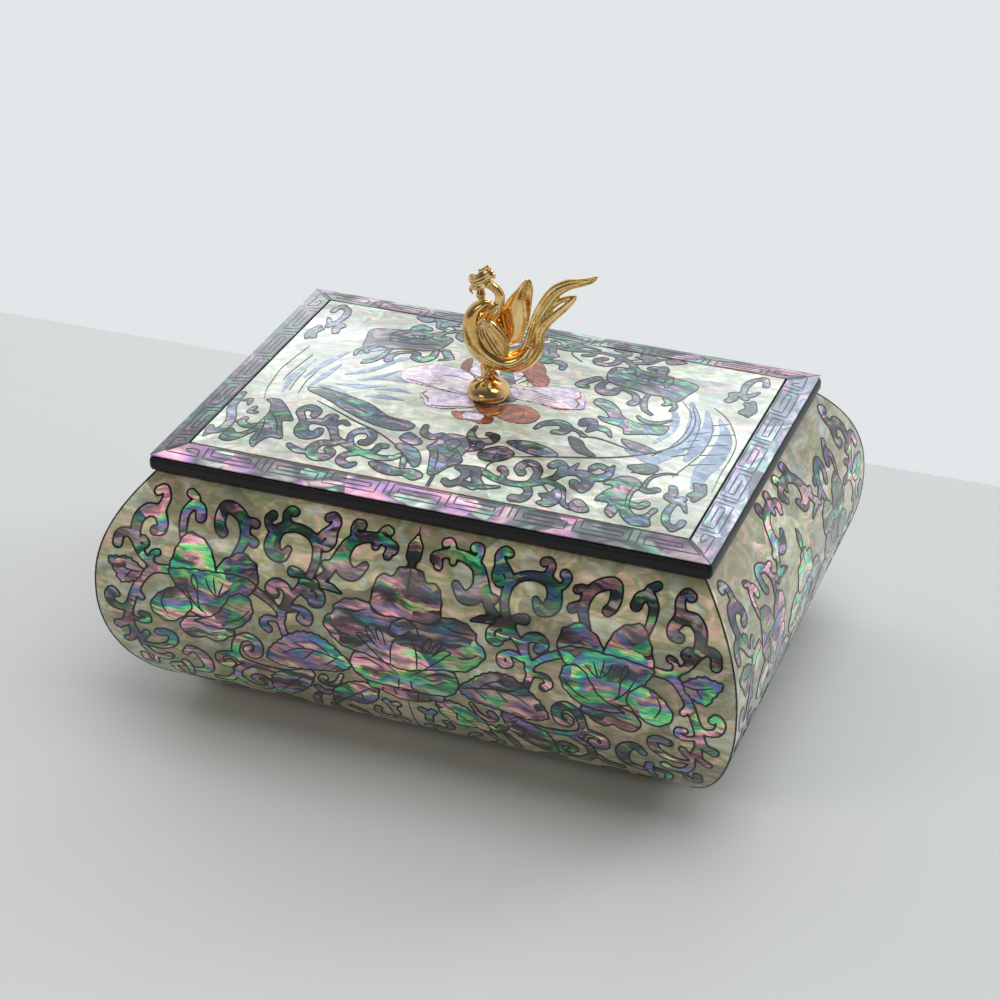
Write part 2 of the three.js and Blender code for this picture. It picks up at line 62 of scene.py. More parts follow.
Lines = list[tuple[Array, float]]
Path = list[tuple[float, float]]


# Shader expressions

class Value:
    """One output socket, so that arithmetic on masks reads as arithmetic and adds Math nodes."""

    def __init__(self, shader: "Shader", socket: bpy.types.NodeSocket) -> None:
        """Keeps the socket and the tree that it belongs to."""
        self.shader, self.socket = shader, socket

    def _math(self, operation: str, *terms: Any) -> "Value":
        """Adds one Math node and returns its result."""
        return self.shader.node("ShaderNodeMath", {"operation": operation}, dict(enumerate(terms)))

    def __add__(self, other: Any) -> "Value":
        """Sum."""
        return self._math("ADD", self, other)

    __radd__ = __add__

    def __mul__(self, other: Any) -> "Value":
        """Product."""
        return self._math("MULTIPLY", self, other)

    __rmul__ = __mul__

    def __sub__(self, other: Any) -> "Value":
        """Difference."""
        return self._math("SUBTRACT", self, other)

    def __rsub__(self, other: Any) -> "Value":
        """Difference with this value taken away, so that 1 - mask works."""
        return self._math("SUBTRACT", other, self)

    def wrapped(self) -> "Value":
        """Fractional part, which turns a ramp into a cycle."""
        return self._math("FRACT", self)

    def between(self, low: float, high: float, to_low: float = 0.0, to_high: float = 1.0) -> "Value":
        """Smooth step from to_low at low to to_high at high."""
        settings = {"interpolation_type": "SMOOTHSTEP"}
        limits = {1: low, 2: high, 3: to_low, 4: to_high}
        return self.shader.node("ShaderNodeMapRange", settings, {"Value": self, **limits})


class Shader:
    """The node tree of one material."""

    def __init__(self, name: str) -> None:
        """Makes an empty material of that name."""
        self.material = bpy.data.materials.new(name)
        self.material.use_nodes = True
        self.tree = self.material.node_tree
        self.tree.nodes.clear()

    @classmethod
    def on(cls, tree: bpy.types.NodeTree) -> "Shader":
        """A shader on a tree that exists already, emptied."""
        made = cls.__new__(cls)
        made.material, made.tree = None, tree
        tree.nodes.clear()
        return made

    def node(self, kind: str, settings: Optional[dict[str, Any]] = None,
             sockets: Optional[dict[Union[str, int], Any]] = None, out: Union[str, int] = 0) -> Value:
        """Adds a node of any type.

        Args:
            kind: Blender's node type.
            settings: the node's own settings, set first; "stops" fills a colour ramp.
            sockets: values or links for the input sockets, by name or number.
            out: the output socket to return.

        Returns:
            The chosen output, or the input of a node that ends the tree.
        """
        made = self.tree.nodes.new(kind)
        for key, value in (settings or {}).items():
            if key == "stops":
                ramp = made.color_ramp
                while len(ramp.elements) < len(value):
                    ramp.elements.new(0.5)
                for element, (place, colour) in zip(ramp.elements, value):
                    element.position, element.color = place, (*colour, 1.0)
            else:
                setattr(made, key, value)
        for key, value in (sockets or {}).items():
            if isinstance(value, Value):
                self.tree.links.new(value.socket, made.inputs[key])
            else:
                made.inputs[key].default_value = value
        return Value(self, (made.outputs or made.inputs)[out])

    def place(self) -> Value:
        """Object coordinates in millimetres."""
        return self.vector("MULTIPLY", self.node("ShaderNodeTexCoord", out="Object"), (1.0 / MM,) * 3)

    def vector(self, operation: str, a: Any, b: Any) -> Value:
        """One Vector Math node on a and b."""
        return self.node("ShaderNodeVectorMath", {"operation": operation}, {0: a, 1: b})

    def parts(self, kind: str, whole: Value) -> tuple[Value, ...]:
        """The three parts of a colour or vector, by a node of that type."""
        made = self.node(kind, None, {0: whole}).socket.node
        return tuple(Value(self, made.outputs[i]) for i in range(3))

    def noise(self, at: Value, size: float, detail: float = 3.0, rough: float = 0.55, bend: float = 0.0,
              coloured: bool = False) -> Value:
        """Noise whose features are about size millimetres across, as a number or as a colour."""
        shape = {"Scale": 1.0 / size, "Detail": detail, "Roughness": rough, "Distortion": bend}
        return self.node("ShaderNodeTexNoise", None, {"Vector": at, **shape}, int(coloured))

    def mix(self, share: Any, a: Any, b: Any, blend: str = "MIX") -> Value:
        """Colour a turned towards colour b by a share."""
        a, b = ((*value, 1.0) if isinstance(value, tuple) else value for value in (a, b))
        settings = {"data_type": "RGBA", "blend_type": blend}
        return self.node("ShaderNodeMix", settings, {0: share, 6: a, 7: b}, 2)

    def ramp(self, at: Value, stops: Sequence[tuple[float, Colour]]) -> Value:
        """Colour read from stops, with even blends between them."""
        return self.node("ShaderNodeValToRGB", {"stops": stops}, {"Fac": at})

    def finish(self, sockets: dict[str, Any], height: Optional[Value] = None, bump: float = 0.1,
               lift: float = 0.05) -> bpy.types.Material:
        """Ends the tree in one Principled shader.

        Args:
            sockets: values or links of the Principled shader.
            height: surface relief, or None.
            bump: strength of that relief.
            lift: its full height in millimetres.

        Returns:
            The finished material.
        """
        if height is not None:
            relief = {"Height": height, "Strength": bump, "Distance": lift * MM}
            sockets = {**sockets, "Normal": self.node("ShaderNodeBump", None, relief)}
        surface = self.node("ShaderNodeBsdfPrincipled", None, sockets)
        self.node("ShaderNodeOutputMaterial", None, {"Surface": surface})
        return self.material


# Finishes

TEAL, GREEN, LEAF = (0.035, 0.330, 0.260), (0.100, 0.640, 0.210), (0.440, 0.640, 0.230)
PINK, ROSE, VIOLET = (0.880, 0.430, 0.480), (0.580, 0.230, 0.330), (0.280, 0.150, 0.400)
# SHEEN_SILVER is the pale colour of the painted sheen on cut shell.
BLUE, INK, SHEEN_SILVER = (0.080, 0.170, 0.400), (0.016, 0.018, 0.022), (0.760, 0.700, 0.680)
ASH = (0.300, 0.230, 0.220)
CLEAR_COAT = {"Coat IOR": 1.5, "Coat Roughness": 0.035}


@dataclass(frozen=True)
class Shell:
    """Cut shell under clear lacquer: long plates, each with its own run of coloured bands and smoky streaks.

    A plate is one Voronoi cell, whose edges stray by up to half of stray. Its colour times jump shifts the
    noise inside it, so that bands break off at its edges. The band colour is the fractional part of noise
    times turns plus the plate's number, read from a cycle of stops. Streaks darken it, painted sheen
    brightens it.
    """

    name: str
    stops: tuple[Colour, ...]
    plate: Point = (17.0, 17.0, 8.0)
    band: Point = (12.0, 12.0, 5.0)
    turns: float = 2.7
    streak: float = 0.90
    streak_colour: Colour = INK
    # glow is the largest share of painted sheen.
    spread: float = 0.35
    glow: float = 0.45
    grain: float = 0.30
    rough: float = 0.32
    metallic: float = 0.25
    stray: float = 5.0
    jump: float = 23.0

    def build(self) -> bpy.types.Material:
        """Makes the material."""
        s = Shader(self.name)
        at = s.place()
        wander = s.vector("SUBTRACT", s.noise(at, 8.0, 2.0, 0.5, coloured=True), (0.5,) * 3)
        loose = s.vector("ADD", at, s.vector("MULTIPLY", wander, (self.stray,) * 3))
        plates = s.vector("DIVIDE", loose, self.plate)
        cell = s.node("ShaderNodeTexVoronoi", {"feature": "F1"}, {"Vector": plates, "Scale": 1.0}, "Color")
        first, second, third = s.parts("ShaderNodeSeparateColor", cell)
        shift = s.vector("MULTIPLY", cell, (self.jump,) * 3)
        inside = s.vector("ADD", s.vector("DIVIDE", loose, self.band), shift)
        bands = s.noise(inside, 1.0, 1.5, 0.45, 0.5)
        cycle = (bands * self.turns + first).wrapped()
        count = len(self.stops)
        stops = [(i / count, colour) for i, colour in enumerate(self.stops)] + [(1.0, self.stops[0])]
        hue = s.ramp(cycle, stops)
        soft = s.noise(s.vector("MULTIPLY", inside, (0.9, 0.9, 1.5)), 1.0, 4.0, 0.6, 0.5)
        smoke = (soft + third * 0.12).between(0.46, 0.60, self.streak, 0.0)
        # Painted sheen: soft patches turned towards pale silver, up to the share glow, stand in for the
        # shell's shimmer.
        sheen = s.noise(s.vector("MULTIPLY", inside, (1.2, 1.2, 2.2)), 1.0, 2.0, 0.5, 0.3)
        lines = s.noise(s.vector("MULTIPLY", inside, (3.0, 3.0, 9.0)), 1.0, 3.0, 0.6, 0.4)
        dull = second.between(0.0, 1.0, 1.0 - self.spread, 1.0 + self.spread)
        dull = dull * lines.between(0.35, 0.68, 1.0 - self.grain, 1.0 + self.grain)
        bright = s.node("ShaderNodeVectorMath", {"operation": "SCALE"}, {0: hue, "Scale": dull})
        colour = s.mix(smoke, bright, self.streak_colour)
        painted_sheen = s.mix(lines, SHEEN_SILVER, hue, "SCREEN")
        colour = s.mix(sheen.between(0.56, 0.74, 0.0, self.glow), colour, painted_sheen)
        sockets = {"Base Color": colour, "Metallic": self.metallic, "Roughness": self.rough,
                   "Specular IOR Level": 0.3, "Coat Weight": 1.0, **CLEAR_COAT}
        return s.finish(sockets, bands + lines * 0.4, 0.25, 0.12)


@dataclass(frozen=True)
class Lacquer:
    """Black lacquer: near black, satin, with a faint orange-peel relief."""

    name: str
    colour: Colour = (0.008, 0.008, 0.010)
    rough: float = 0.28
    coat: float = 0.0

    def build(self) -> bpy.types.Material:
        """Makes the material."""
        s = Shader(self.name)
        at = s.place()
        cloud = s.noise(at, 9.0, 4.0)
        colour = s.mix(cloud.between(0.3, 0.8), self.colour, tuple(2.2 * part for part in self.colour))
        gloss = {"Roughness": cloud * 0.14 + (self.rough - 0.07), "IOR": 1.38, "Coat Weight": self.coat}
        return s.finish({"Base Color": colour, **gloss, **CLEAR_COAT}, s.noise(at, 0.9, 3.0), 0.12, 0.02)


@dataclass(frozen=True)
class Gilt:
    """Polished cast metal: the colour deepens in slow clouds, and faint ripples break the reflections."""

    name: str
    colour: Colour
    deep: Colour
    rough: float = 0.10

    def build(self) -> bpy.types.Material:
        """Makes the material."""
        s = Shader(self.name)
        at = s.place()
        cloud = s.noise(at, 3.0, 3.0)
        colour = s.mix(cloud.between(0.35, 0.7), self.colour, self.deep)
        ripple = s.noise(at, 1.4, 3.0, 0.5) + s.noise(at, 0.3, 2.0) * 0.12
        return s.finish({"Base Color": colour, "Metallic": 1.0, "Roughness": cloud * 0.08 + self.rough},
                        ripple, 0.35, 0.05)


@dataclass(frozen=True)
class Pile:
    """Velvet or felt: short fibres seen as fine grain, with slow patches where the nap lies another way."""

    name: str
    colour: Colour
    worn: Colour
    sheen: float
    fibre: float = 0.18

    def build(self) -> bpy.types.Material:
        """Makes the material."""
        s = Shader(self.name)
        at = s.place()
        nap = s.noise(at, 6.0, 4.0, 0.6, 0.6)
        grain = s.noise(at, self.fibre, 3.0, 0.7)
        colour = s.mix(nap.between(0.35, 0.7) * 0.6 + grain * 0.4, self.colour, self.worn)
        gloss = {"Roughness": 0.92, "Sheen Weight": self.sheen, "Sheen Roughness": 0.4}
        return s.finish({"Base Color": colour, **gloss}, grain + nap * 0.5, 0.5, 0.12)


class Finish(Enum):
    """The finishes of this box."""

    WALL_MOTIF = Shell(
        "abalone_cut", (TEAL, GREEN, LEAF, PINK, ROSE, ASH, VIOLET, BLUE), spread=0.62, glow=0.5, grain=0.45)
    # Pearl ground of the walls: darker than the lid's ground, partly its own olive tone and partly painted
    # shade, as the walls get less light than the lid top.
    WALL_GROUND = Shell(
        "pearl_ground",
        (
            (0.38, 0.36, 0.19), (0.65, 0.45, 0.36), (0.33, 0.38, 0.18), (0.55, 0.49, 0.32),
            (0.42, 0.48, 0.40), (0.31, 0.32, 0.17)), (24.0, 24.0, 13.0), (12.0, 12.0, 8.5), 3.0, 0.52,
        (0.17, 0.16, 0.10), 0.28, 0.33, 0.18, 0.34, 0.12)
    LID_GROUND = Shell(
        "pearl_lid",
        ((0.50, 0.56, 0.43), (0.67, 0.54, 0.50), (0.43, 0.59, 0.47), (0.58, 0.59, 0.45), (0.50, 0.53, 0.53)),
        (22.0, 12.0, 22.0), (12.0, 6.0, 12.0), 3.2, 0.36, (0.26, 0.30, 0.19), 0.22, 0.4, 0.24, 0.30, 0.12)
    LID_MOTIF = Shell(
        "abalone_lid",
        (
            (0.04, 0.13, 0.11), (0.12, 0.50, 0.22), (0.05, 0.065, 0.08), (0.52, 0.30, 0.40),
            (0.05, 0.065, 0.09), (0.15, 0.12, 0.26), (0.10, 0.22, 0.38), (0.04, 0.055, 0.07)),
        (11.0, 6.0, 11.0), (9.0, 3.6, 9.0), 2.7, 0.72, (0.018, 0.022, 0.027), 0.50, 0.36, 0.42)
    BORDER = Shell(
        "pearl_border",
        (
            (0.62, 0.27, 0.41), (0.69, 0.48, 0.55), (0.08, 0.09, 0.10), (0.05, 0.06, 0.07),
            (0.20, 0.52, 0.40), (0.48, 0.52, 0.46), (0.07, 0.07, 0.10), (0.38, 0.19, 0.44)),
        (19.0, 14.0, 19.0), (17.0, 9.0, 17.0), 2.0, 0.60, (0.05, 0.055, 0.06), 0.40, 0.36, 0.25, 0.28, 0.25)
    # Left border strip: mottled green and purple shell, kept darker than the other strips as painted shade,
    # standing in for the dark room that this strip reflects.
    BORDER_DARK = Shell(
        "dark_border",
        (
            (0.04, 0.09, 0.07), (0.10, 0.30, 0.20), (0.03, 0.04, 0.05), (0.22, 0.10, 0.22),
            (0.05, 0.06, 0.08), (0.32, 0.20, 0.28), (0.04, 0.05, 0.05)), (9.0, 13.0, 9.0), (6.0, 11.0, 6.0),
        2.4, 0.70, (0.02, 0.024, 0.028), 0.35, 0.20, 0.3, 0.28, 0.2)
    BORDER_BLUE = Shell(
        "blue_border",
        (
            (0.16, 0.21, 0.33), (0.38, 0.40, 0.54), (0.07, 0.10, 0.16), (0.52, 0.50, 0.62),
            (0.26, 0.50, 0.44), (0.10, 0.12, 0.20), (0.56, 0.34, 0.50)), (12.0, 19.0, 12.0), (8.0, 17.0, 8.0),
        2.0, 0.55, (0.05, 0.06, 0.09), 0.35, 0.36, 0.3, 0.28, 0.2)
    COPPER = Shell(
        "copper_shell", ((0.34, 0.10, 0.05), (0.46, 0.18, 0.09), (0.22, 0.06, 0.03)), (11.0, 7.0, 11.0),
        (6.0, 4.0, 6.0), 2.0, 0.40, (0.12, 0.035, 0.02), 0.15, 0.0, 0.3, 0.3, 0.35)
    LAVENDER = Shell(
        "lavender_shell", ((0.66, 0.56, 0.69), (0.79, 0.67, 0.73), (0.56, 0.52, 0.67)), (11.0, 8.0, 11.0),
        (7.0, 3.0, 7.0), 2.2, 0.25, (0.28, 0.22, 0.36), 0.12, 0.2, 0.25, 0.3, 0.2)
    MIST = Shell(
        "blue_shell", ((0.15, 0.22, 0.32), (0.26, 0.34, 0.44), (0.11, 0.17, 0.28)), (10.0, 8.0, 10.0),
        (8.0, 3.0, 8.0), 2.2, 0.25, (0.20, 0.26, 0.36), 0.16, 0.3, 0.25, 0.3, 0.2)
    # Pale shell of the painted highlights along the flower's folds.
    PALE = Shell(
        "pale_shell", ((0.78, 0.72, 0.78), (0.86, 0.76, 0.76), (0.70, 0.70, 0.78)), (9.0, 9.0, 9.0),
        (5.0, 3.0, 5.0), 2.0, 0.10, (0.5, 0.45, 0.5), 0.12, 0.2, 0.2, 0.3, 0.15)
    INK_LINE = Lacquer("lacquer_line", (0.002, 0.002, 0.0025), 0.40, 0.8)
    BLACK = Lacquer("lacquer_black", (0.004, 0.004, 0.005), 0.32)
    # GOLD: its deep colour is dark, so the slow clouds are partly the metal's uneven colour and partly
    # painted dark reflection.
    GOLD = Gilt("gilt_polished", (1.0, 0.72, 0.33), (0.82, 0.48, 0.14), 0.06)
    STEEL = Gilt("steel_bright", (0.55, 0.55, 0.56), (0.42, 0.42, 0.44), 0.24)
    VELVET = Pile("velvet_wine", (0.055, 0.004, 0.012), (0.150, 0.012, 0.034), 0.6)
    FELT = Pile("felt_black", (0.012, 0.012, 0.013), (0.035, 0.034, 0.035), 0.15, 0.3)

    def material(self) -> bpy.types.Material:
        """The material, made at its first use."""
        return bpy.data.materials.get(self.value.name) or self.value.build()


# Mesh helpers

ALL_SMOOTH = 3.2


def add_piece(name: str, points: Array, faces: Array, finish: Finish, body: str, slot: str,
              sharp: float = 0.7) -> bpy.types.Object:
    """Puts a mesh in the scene and lets it ride on a body.

    Args:
        name: the piece's name.
        points: corners in millimetres, one per row.
        faces: corner numbers, three or four per row.
        finish: its finish.
        body: the CAD body that carries it.
        slot: the record's material slot; not used.
        sharp: edges that turn by more than this many radians stay sharp.

    Returns:
        The new object.
    """
    mesh = bpy.data.meshes.new(name)
    count, sides = faces.shape
    mesh.vertices.add(len(points))
    mesh.vertices.foreach_set("co", (points * MM).astype(np.float32).ravel())
    mesh.loops.add(faces.size)
    mesh.loops.foreach_set("vertex_index", faces.astype(np.int32).ravel())
    mesh.polygons.add(count)
    mesh.polygons.foreach_set("loop_start", np.arange(0, faces.size, sides, dtype=np.int32))
    mesh.polygons.foreach_set("use_smooth", np.ones(count, bool))
    mesh.update(calc_edges=True)
    mesh.set_sharp_from_angle(angle=sharp)
    piece = bpy.data.objects.new(name, mesh)
    bpy.context.scene.collection.objects.link(piece)
    mesh.materials.append(finish.material())
    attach(piece, body)
    LOG.info("%s: %d faces on %s", name, count, body)
    return piece


def curve(points: Any, samples: int = 8, closed: bool = False) -> Array:
    """Catmull-Rom curve through points of any dimension, all spans at once.

    Args:
        points: the points, one per row.
        samples: points on each span.
        closed: whether the curve returns to its start.

    Returns:
        The sampled points; an open curve keeps its last point.
    """
    p = np.asarray(points, float)
    if closed:
        before, here, after, beyond = np.roll(p, 1, 0), p, np.roll(p, -1, 0), np.roll(p, -2, 0)
    else:
        q = np.concatenate([2 * p[:1] - p[1:2], p, 2 * p[-1:] - p[-2:-1]])
        before, here, after, beyond = q[:-3], q[1:-2], q[2:-1], q[3:]
    t = np.linspace(0, 1, samples, endpoint=False)[None, :, None]
    b, h, a, y = (part[:, None, :] for part in (before, here, after, beyond))
    square, cube = 2 * b - 5 * h + 4 * a - y, 3 * h - b - 3 * a + y
    out = (0.5 * (2 * h + (a - b) * t + square * t ** 2 + cube * t ** 3)).reshape(-1, p.shape[1])
    return out if closed else np.concatenate([out, p[-1:]])


def halved(a: Array, b: Array, c: Array, d: Array) -> Array:
    """Two triangles for each four-sided cell, from the numbers of its corners in order."""
    a, b, c, d = (part.ravel() for part in (a, b, c, d))
    return np.concatenate([np.stack([a, b, c], 1), np.stack([a, c, d], 1)])


def grid_faces(rows: int, cols: int) -> Array:
    """The triangles of a grid of points that are numbered row by row."""
    index = np.arange(rows * cols).reshape(rows, cols)
    return halved(index[:-1, :-1], index[:-1, 1:], index[1:, 1:], index[1:, :-1])


def unit(vectors: Array) -> Array:
    """The vectors, one per row, at length 1."""
    return vectors / np.maximum(np.linalg.norm(vectors, axis=-1, keepdims=True), TINY)


def rolled(rows: Array, first: Array) -> Array:
    """Each row turned so that the entry numbered in first comes first."""
    order = (np.arange(rows.shape[1]) + first[:, None]) % rows.shape[1]
    return rows[np.arange(len(rows))[:, None], order]


def cut_out(values: Array, us: Array, vs: Array) -> tuple[Array, Array]:
    """Triangles of a grid, cut along the line where the value is zero; the side below zero is kept.

    On an edge whose ends have values f and g the cut is at the share f / (f - g).

    Args:
        values: one value per grid point, rows along v.
        us: the columns' u.
        vs: the rows' v.

    Returns:
        The flat points and the triangles, each turning the same way.
    """
    least, size = 1e-4, values.size
    f = np.where(np.abs(values) < least, -least, values).ravel()
    triangles = grid_faces(*values.shape)
    inside = f[triangles] < 0
    kept = inside.sum(1)
    whole = triangles[kept == 3]
    one = rolled(triangles[kept == 1], inside[kept == 1].argmax(1))
    two = rolled(triangles[kept == 2], (~inside[kept == 2]).argmax(1))
    cuts = np.concatenate([one[:, [0, 1]], one[:, [0, 2]], two[:, [0, 1]], two[:, [0, 2]]])
    low, high = cuts.min(1), cuts.max(1)
    edges, number = np.unique(low.astype(np.int64) * size + high, return_inverse=True)
    low, high = edges // size, edges % size
    share = (f[low] / (f[low] - f[high]))[:, None]
    flat = np.stack(np.meshgrid(us, vs), -1).reshape(-1, 2)
    points = np.concatenate([flat, flat[low] * (1 - share) + flat[high] * share])
    e1, e2, e3, e4 = np.split(number.ravel() + size, np.cumsum([len(one), len(one), len(two)]))
    faces = np.concatenate([
        whole, np.stack([one[:, 0], e1, e2], 1), np.stack([e3, two[:, 1], two[:, 2]], 1),
        np.stack([e3, two[:, 2], e4], 1)])
    used, faces = np.unique(faces, return_inverse=True)
    return points[used], faces.reshape(-1, 3)


def closed_sheet(flat: Array, faces: Array, place: Placer, top: float, low: float) -> tuple[Array, Array]:
    """A thin closed body from flat triangles: an upper and a lower skin, joined along every edge used once.

    Args:
        flat: u and v of the corners.
        faces: triangles that turn anticlockwise seen from outside.
        place: maps u, v and a height over the face to space.
        top: height of the upper skin.
        low: height of the lower skin.

    Returns:
        Points and triangles.
    """
    count = len(flat)
    points = np.concatenate([place(flat[:, 0], flat[:, 1], top), place(flat[:, 0], flat[:, 1], low)])
    ends = np.concatenate([faces[:, [0, 1]], faces[:, [1, 2]], faces[:, [2, 0]]]).astype(np.int64)
    key, back = ends[:, 0] * count + ends[:, 1], ends[:, 1] * count + ends[:, 0]
    rim = ends[~np.isin(key, back)]
    a, b = rim[:, 0], rim[:, 1]
    return points, np.concatenate([faces, faces[:, ::-1] + count, halved(a, a + count, b + count, b)])


def ribbons(lines: Lines, place: Placer, top: float, low: float) -> tuple[Array, Array]:
    """Flat bars along open lines on a face, each with a box section and pointed ends.

    The half width runs as sin(pi t) to the power 0.35 along the line, so both ends taper.

    Args:
        lines: (points, width) of each line.
        place: maps u, v and height to space.
        top: height of the bars.
        low: height of their undersides.

    Returns:
        Points and four-sided faces.
    """
    parts = []
    for path, width in lines:
        line = curve(path, 6) if len(path) > 2 else np.linspace(path[0], path[1], 7)
        count = len(line)
        along = unit(np.gradient(line, axis=0))
        t = np.linspace(0.02, 0.98, count)
        half = (0.5 * width * np.sin(np.pi * t) ** 0.35)[:, None] * np.stack([-along[:, 1], along[:, 0]], 1)
        corners = ((line + half, top), (line - half, top), (line - half, low), (line + half, low))
        points = np.stack([place(*side.T, height) for side, height in corners], 1).reshape(-1, 3)
        step, corner = np.arange(count - 1)[:, None] * 4, np.arange(4)[None, :]
        ring, nxt = step + corner, step + (corner + 1) % 4
        quads = np.stack([ring, nxt, nxt + 4, ring + 4], -1).reshape(-1, 4)
        last = 4 * (count - 1)
        parts.append((points, np.concatenate([quads, [[3, 2, 1, 0], [last, last + 1, last + 2, last + 3]]])))
    return joined(parts)


def joined(parts: Sequence[tuple[Array, Array]]) -> tuple[Array, Array]:
    """Several bodies as one list of points and one of faces."""
    starts = np.cumsum([0] + [len(p) for p, _ in parts[:-1]])
    return np.concatenate([p for p, _ in parts]), np.concatenate([f + s for (_, f), s in zip(parts, starts)])


class Layer(Enum):
    """Upper and lower height of each kind of inlay over its face, in millimetres."""

    WALL_SHELL = (0.06, -0.12)
    LID_SHELL = (0.06, -0.10)
    MIST = (0.05, -0.10)
    OUTLINE = (0.09, -0.10)
    ENGRAVING = (0.085, -0.05)
    PETAL = (0.10, -0.10)
    PETAL_OUTLINE = (0.12, -0.10)
    PETAL_FOLD = (0.14, -0.05)
    PETAL_CREASE = (0.145, -0.05)
    PETAL_RIM = (0.15, -0.05)
    FRET = (0.04, -0.06)


# Drawing of the inlay

@dataclass
class Drawing:
    """The inlay of a face as distance fields: solid is below zero on shell, ink on a black line.

    Each new shape hides the lines under it, ink = max(ink, -d), and then adds its own,
    ink = min(ink, |d| - line / 2). Away from all shapes a field holds the number FAR.
    """

    width: float
    height: float
    step: float
    low: float = 0.0
    left: float = 0.0
    line: float = 0.42
    fine: Lines = field(default_factory=list)
    reach: float = 2.5

    def __post_init__(self) -> None:
        """Lays out the grid, from the left over the width and from low over the height."""
        self.us = np.arange(self.left, self.left + self.width + self.step, self.step)
        self.vs = np.arange(self.low, self.low + self.height + self.step, self.step)
        self.grid = np.stack(np.meshgrid(self.us, self.vs), -1)
        self.solid, self.ink = self.blank(), self.blank()

    def blank(self) -> Array:
        """A field with nothing in it."""
        return np.full(self.grid.shape[:2], FAR)

    def near(self, points: Array, reach: float) -> tuple[slice, slice]:
        """The rows and columns of the grid within reach of the points."""
        low, high = points.min(0) - reach, points.max(0) + reach
        rows, cols = (np.searchsorted(ticks, (low[i], high[i])) for ticks, i in ((self.vs, 1), (self.us, 0)))
        return slice(*rows), slice(*cols)

    @staticmethod
    def beside(grid: Array, start: Array, span: Array) -> tuple[Array, Array]:
        """Distance from each grid point to each span, and its nearest point's share of the way along."""
        away = grid[..., None, :] - start
        t = np.clip((away * span).sum(-1) / np.maximum((span ** 2).sum(-1), TINY), 0, 1)
        return np.linalg.norm(away - t[..., None] * span, axis=-1), t

    def stroke(self, points: Any, radii: Sequence[float]) -> Array:
        """Distance to a round brush stroke.

        The distance to each short span, less the radius there, is taken at the nearest point of the span.

        Args:
            points: the stroke's path.
            radii: radii at its start, middle and end.

        Returns:
            The signed distance on the grid.
        """
        path = curve(points, 6)
        share = np.linspace(0, 1, len(path))
        radius = np.interp(share, np.linspace(0, 1, len(radii)), radii)
        part = self.near(path, max(radii) + self.reach)
        gap, t = self.beside(self.grid[part], path[:-1], path[1:] - path[:-1])
        out = self.blank()
        out[part] = (gap - (radius[:-1] + t * np.diff(radius))).min(-1)
        return out

    def outline(self, ring: Array) -> Array:
        """Signed distance to a closed outline, below zero inside by the even-odd rule."""
        start, end = ring, np.roll(ring, -1, 0)
        span = end - start
        part = self.near(ring, self.reach)
        grid = self.grid[part]
        gap = self.beside(grid, start, span)[0].min(-1)
        u, v = grid[..., 0, None], grid[..., 1, None]
        rise = np.where(np.abs(span[:, 1]) < TINY, TINY, span[:, 1])
        beyond = u < span[:, 0] * (v - start[:, 1]) / rise + start[:, 0]
        crossed = ((start[:, 1] > v) != (end[:, 1] > v)) & beyond
        out = self.blank()
        out[part] = np.where(crossed.sum(-1) % 2 == 1, -gap, gap)
        return out

    def add(self, distance: Array) -> None:
        """Lays one shape over what is drawn."""
        self.ink = np.minimum(np.maximum(self.ink, -distance), np.abs(distance) - self.line / 2)
        self.solid = np.minimum(self.solid, distance)

    def scroll(self, strokes: Iterable[tuple[Any, Sequence[float]]], blend: float = 0.7) -> None:
        """Adds strokes as one vine, with a small fillet of size blend where they join."""
        whole = None
        for points, radii in strokes:
            d = self.stroke(points, radii)
            h = 1.0 if whole is None else np.clip(0.5 + 0.5 * (whole - d) / blend, 0, 1)
            whole = d if whole is None else whole * (1 - h) + d * h - blend * h * (1 - h)
        if whole is not None:
            self.add(whole)

    def mirrored(self, values: Array) -> tuple[Array, Array]:
        """The field of the whole face and its columns, from the half that is drawn."""
        return np.concatenate([values[:, :0:-1], values], 1), np.concatenate([-self.us[:0:-1], self.us])


def pairs(numbers: Sequence[float]) -> Array:
    """Pairs of numbers as points with v counted upwards; the groups count it down the picture."""
    return np.reshape(numbers, (-1, 2)) * (1.0, -1.0)


def worked(ring: Array, depth: float, pitch: float, sawn: bool = False) -> Array:
    """A smooth closed ring with a worked edge: each point moves outwards by depth times a wave.

    Args:
        ring: the ring's points.
        depth: how far the edge stands out.
        pitch: arc length of one tooth or frill.
        sawn: the wave is the fractional part of length / pitch, and otherwise |sin(pi length / pitch)|.

    Returns:
        The moved points.
    """
    step = np.linalg.norm(np.diff(ring, axis=0, append=ring[:1]), axis=1)
    travel = np.concatenate([[0], np.cumsum(step)[:-1]])
    along = unit(np.roll(ring, -1, 0) - np.roll(ring, 1, 0))
    wave = (travel / pitch) % 1.0 if sawn else np.abs(np.sin(np.pi * travel / pitch))
    return ring + (depth * wave)[:, None] * np.stack([along[:, 1], -along[:, 0]], 1)


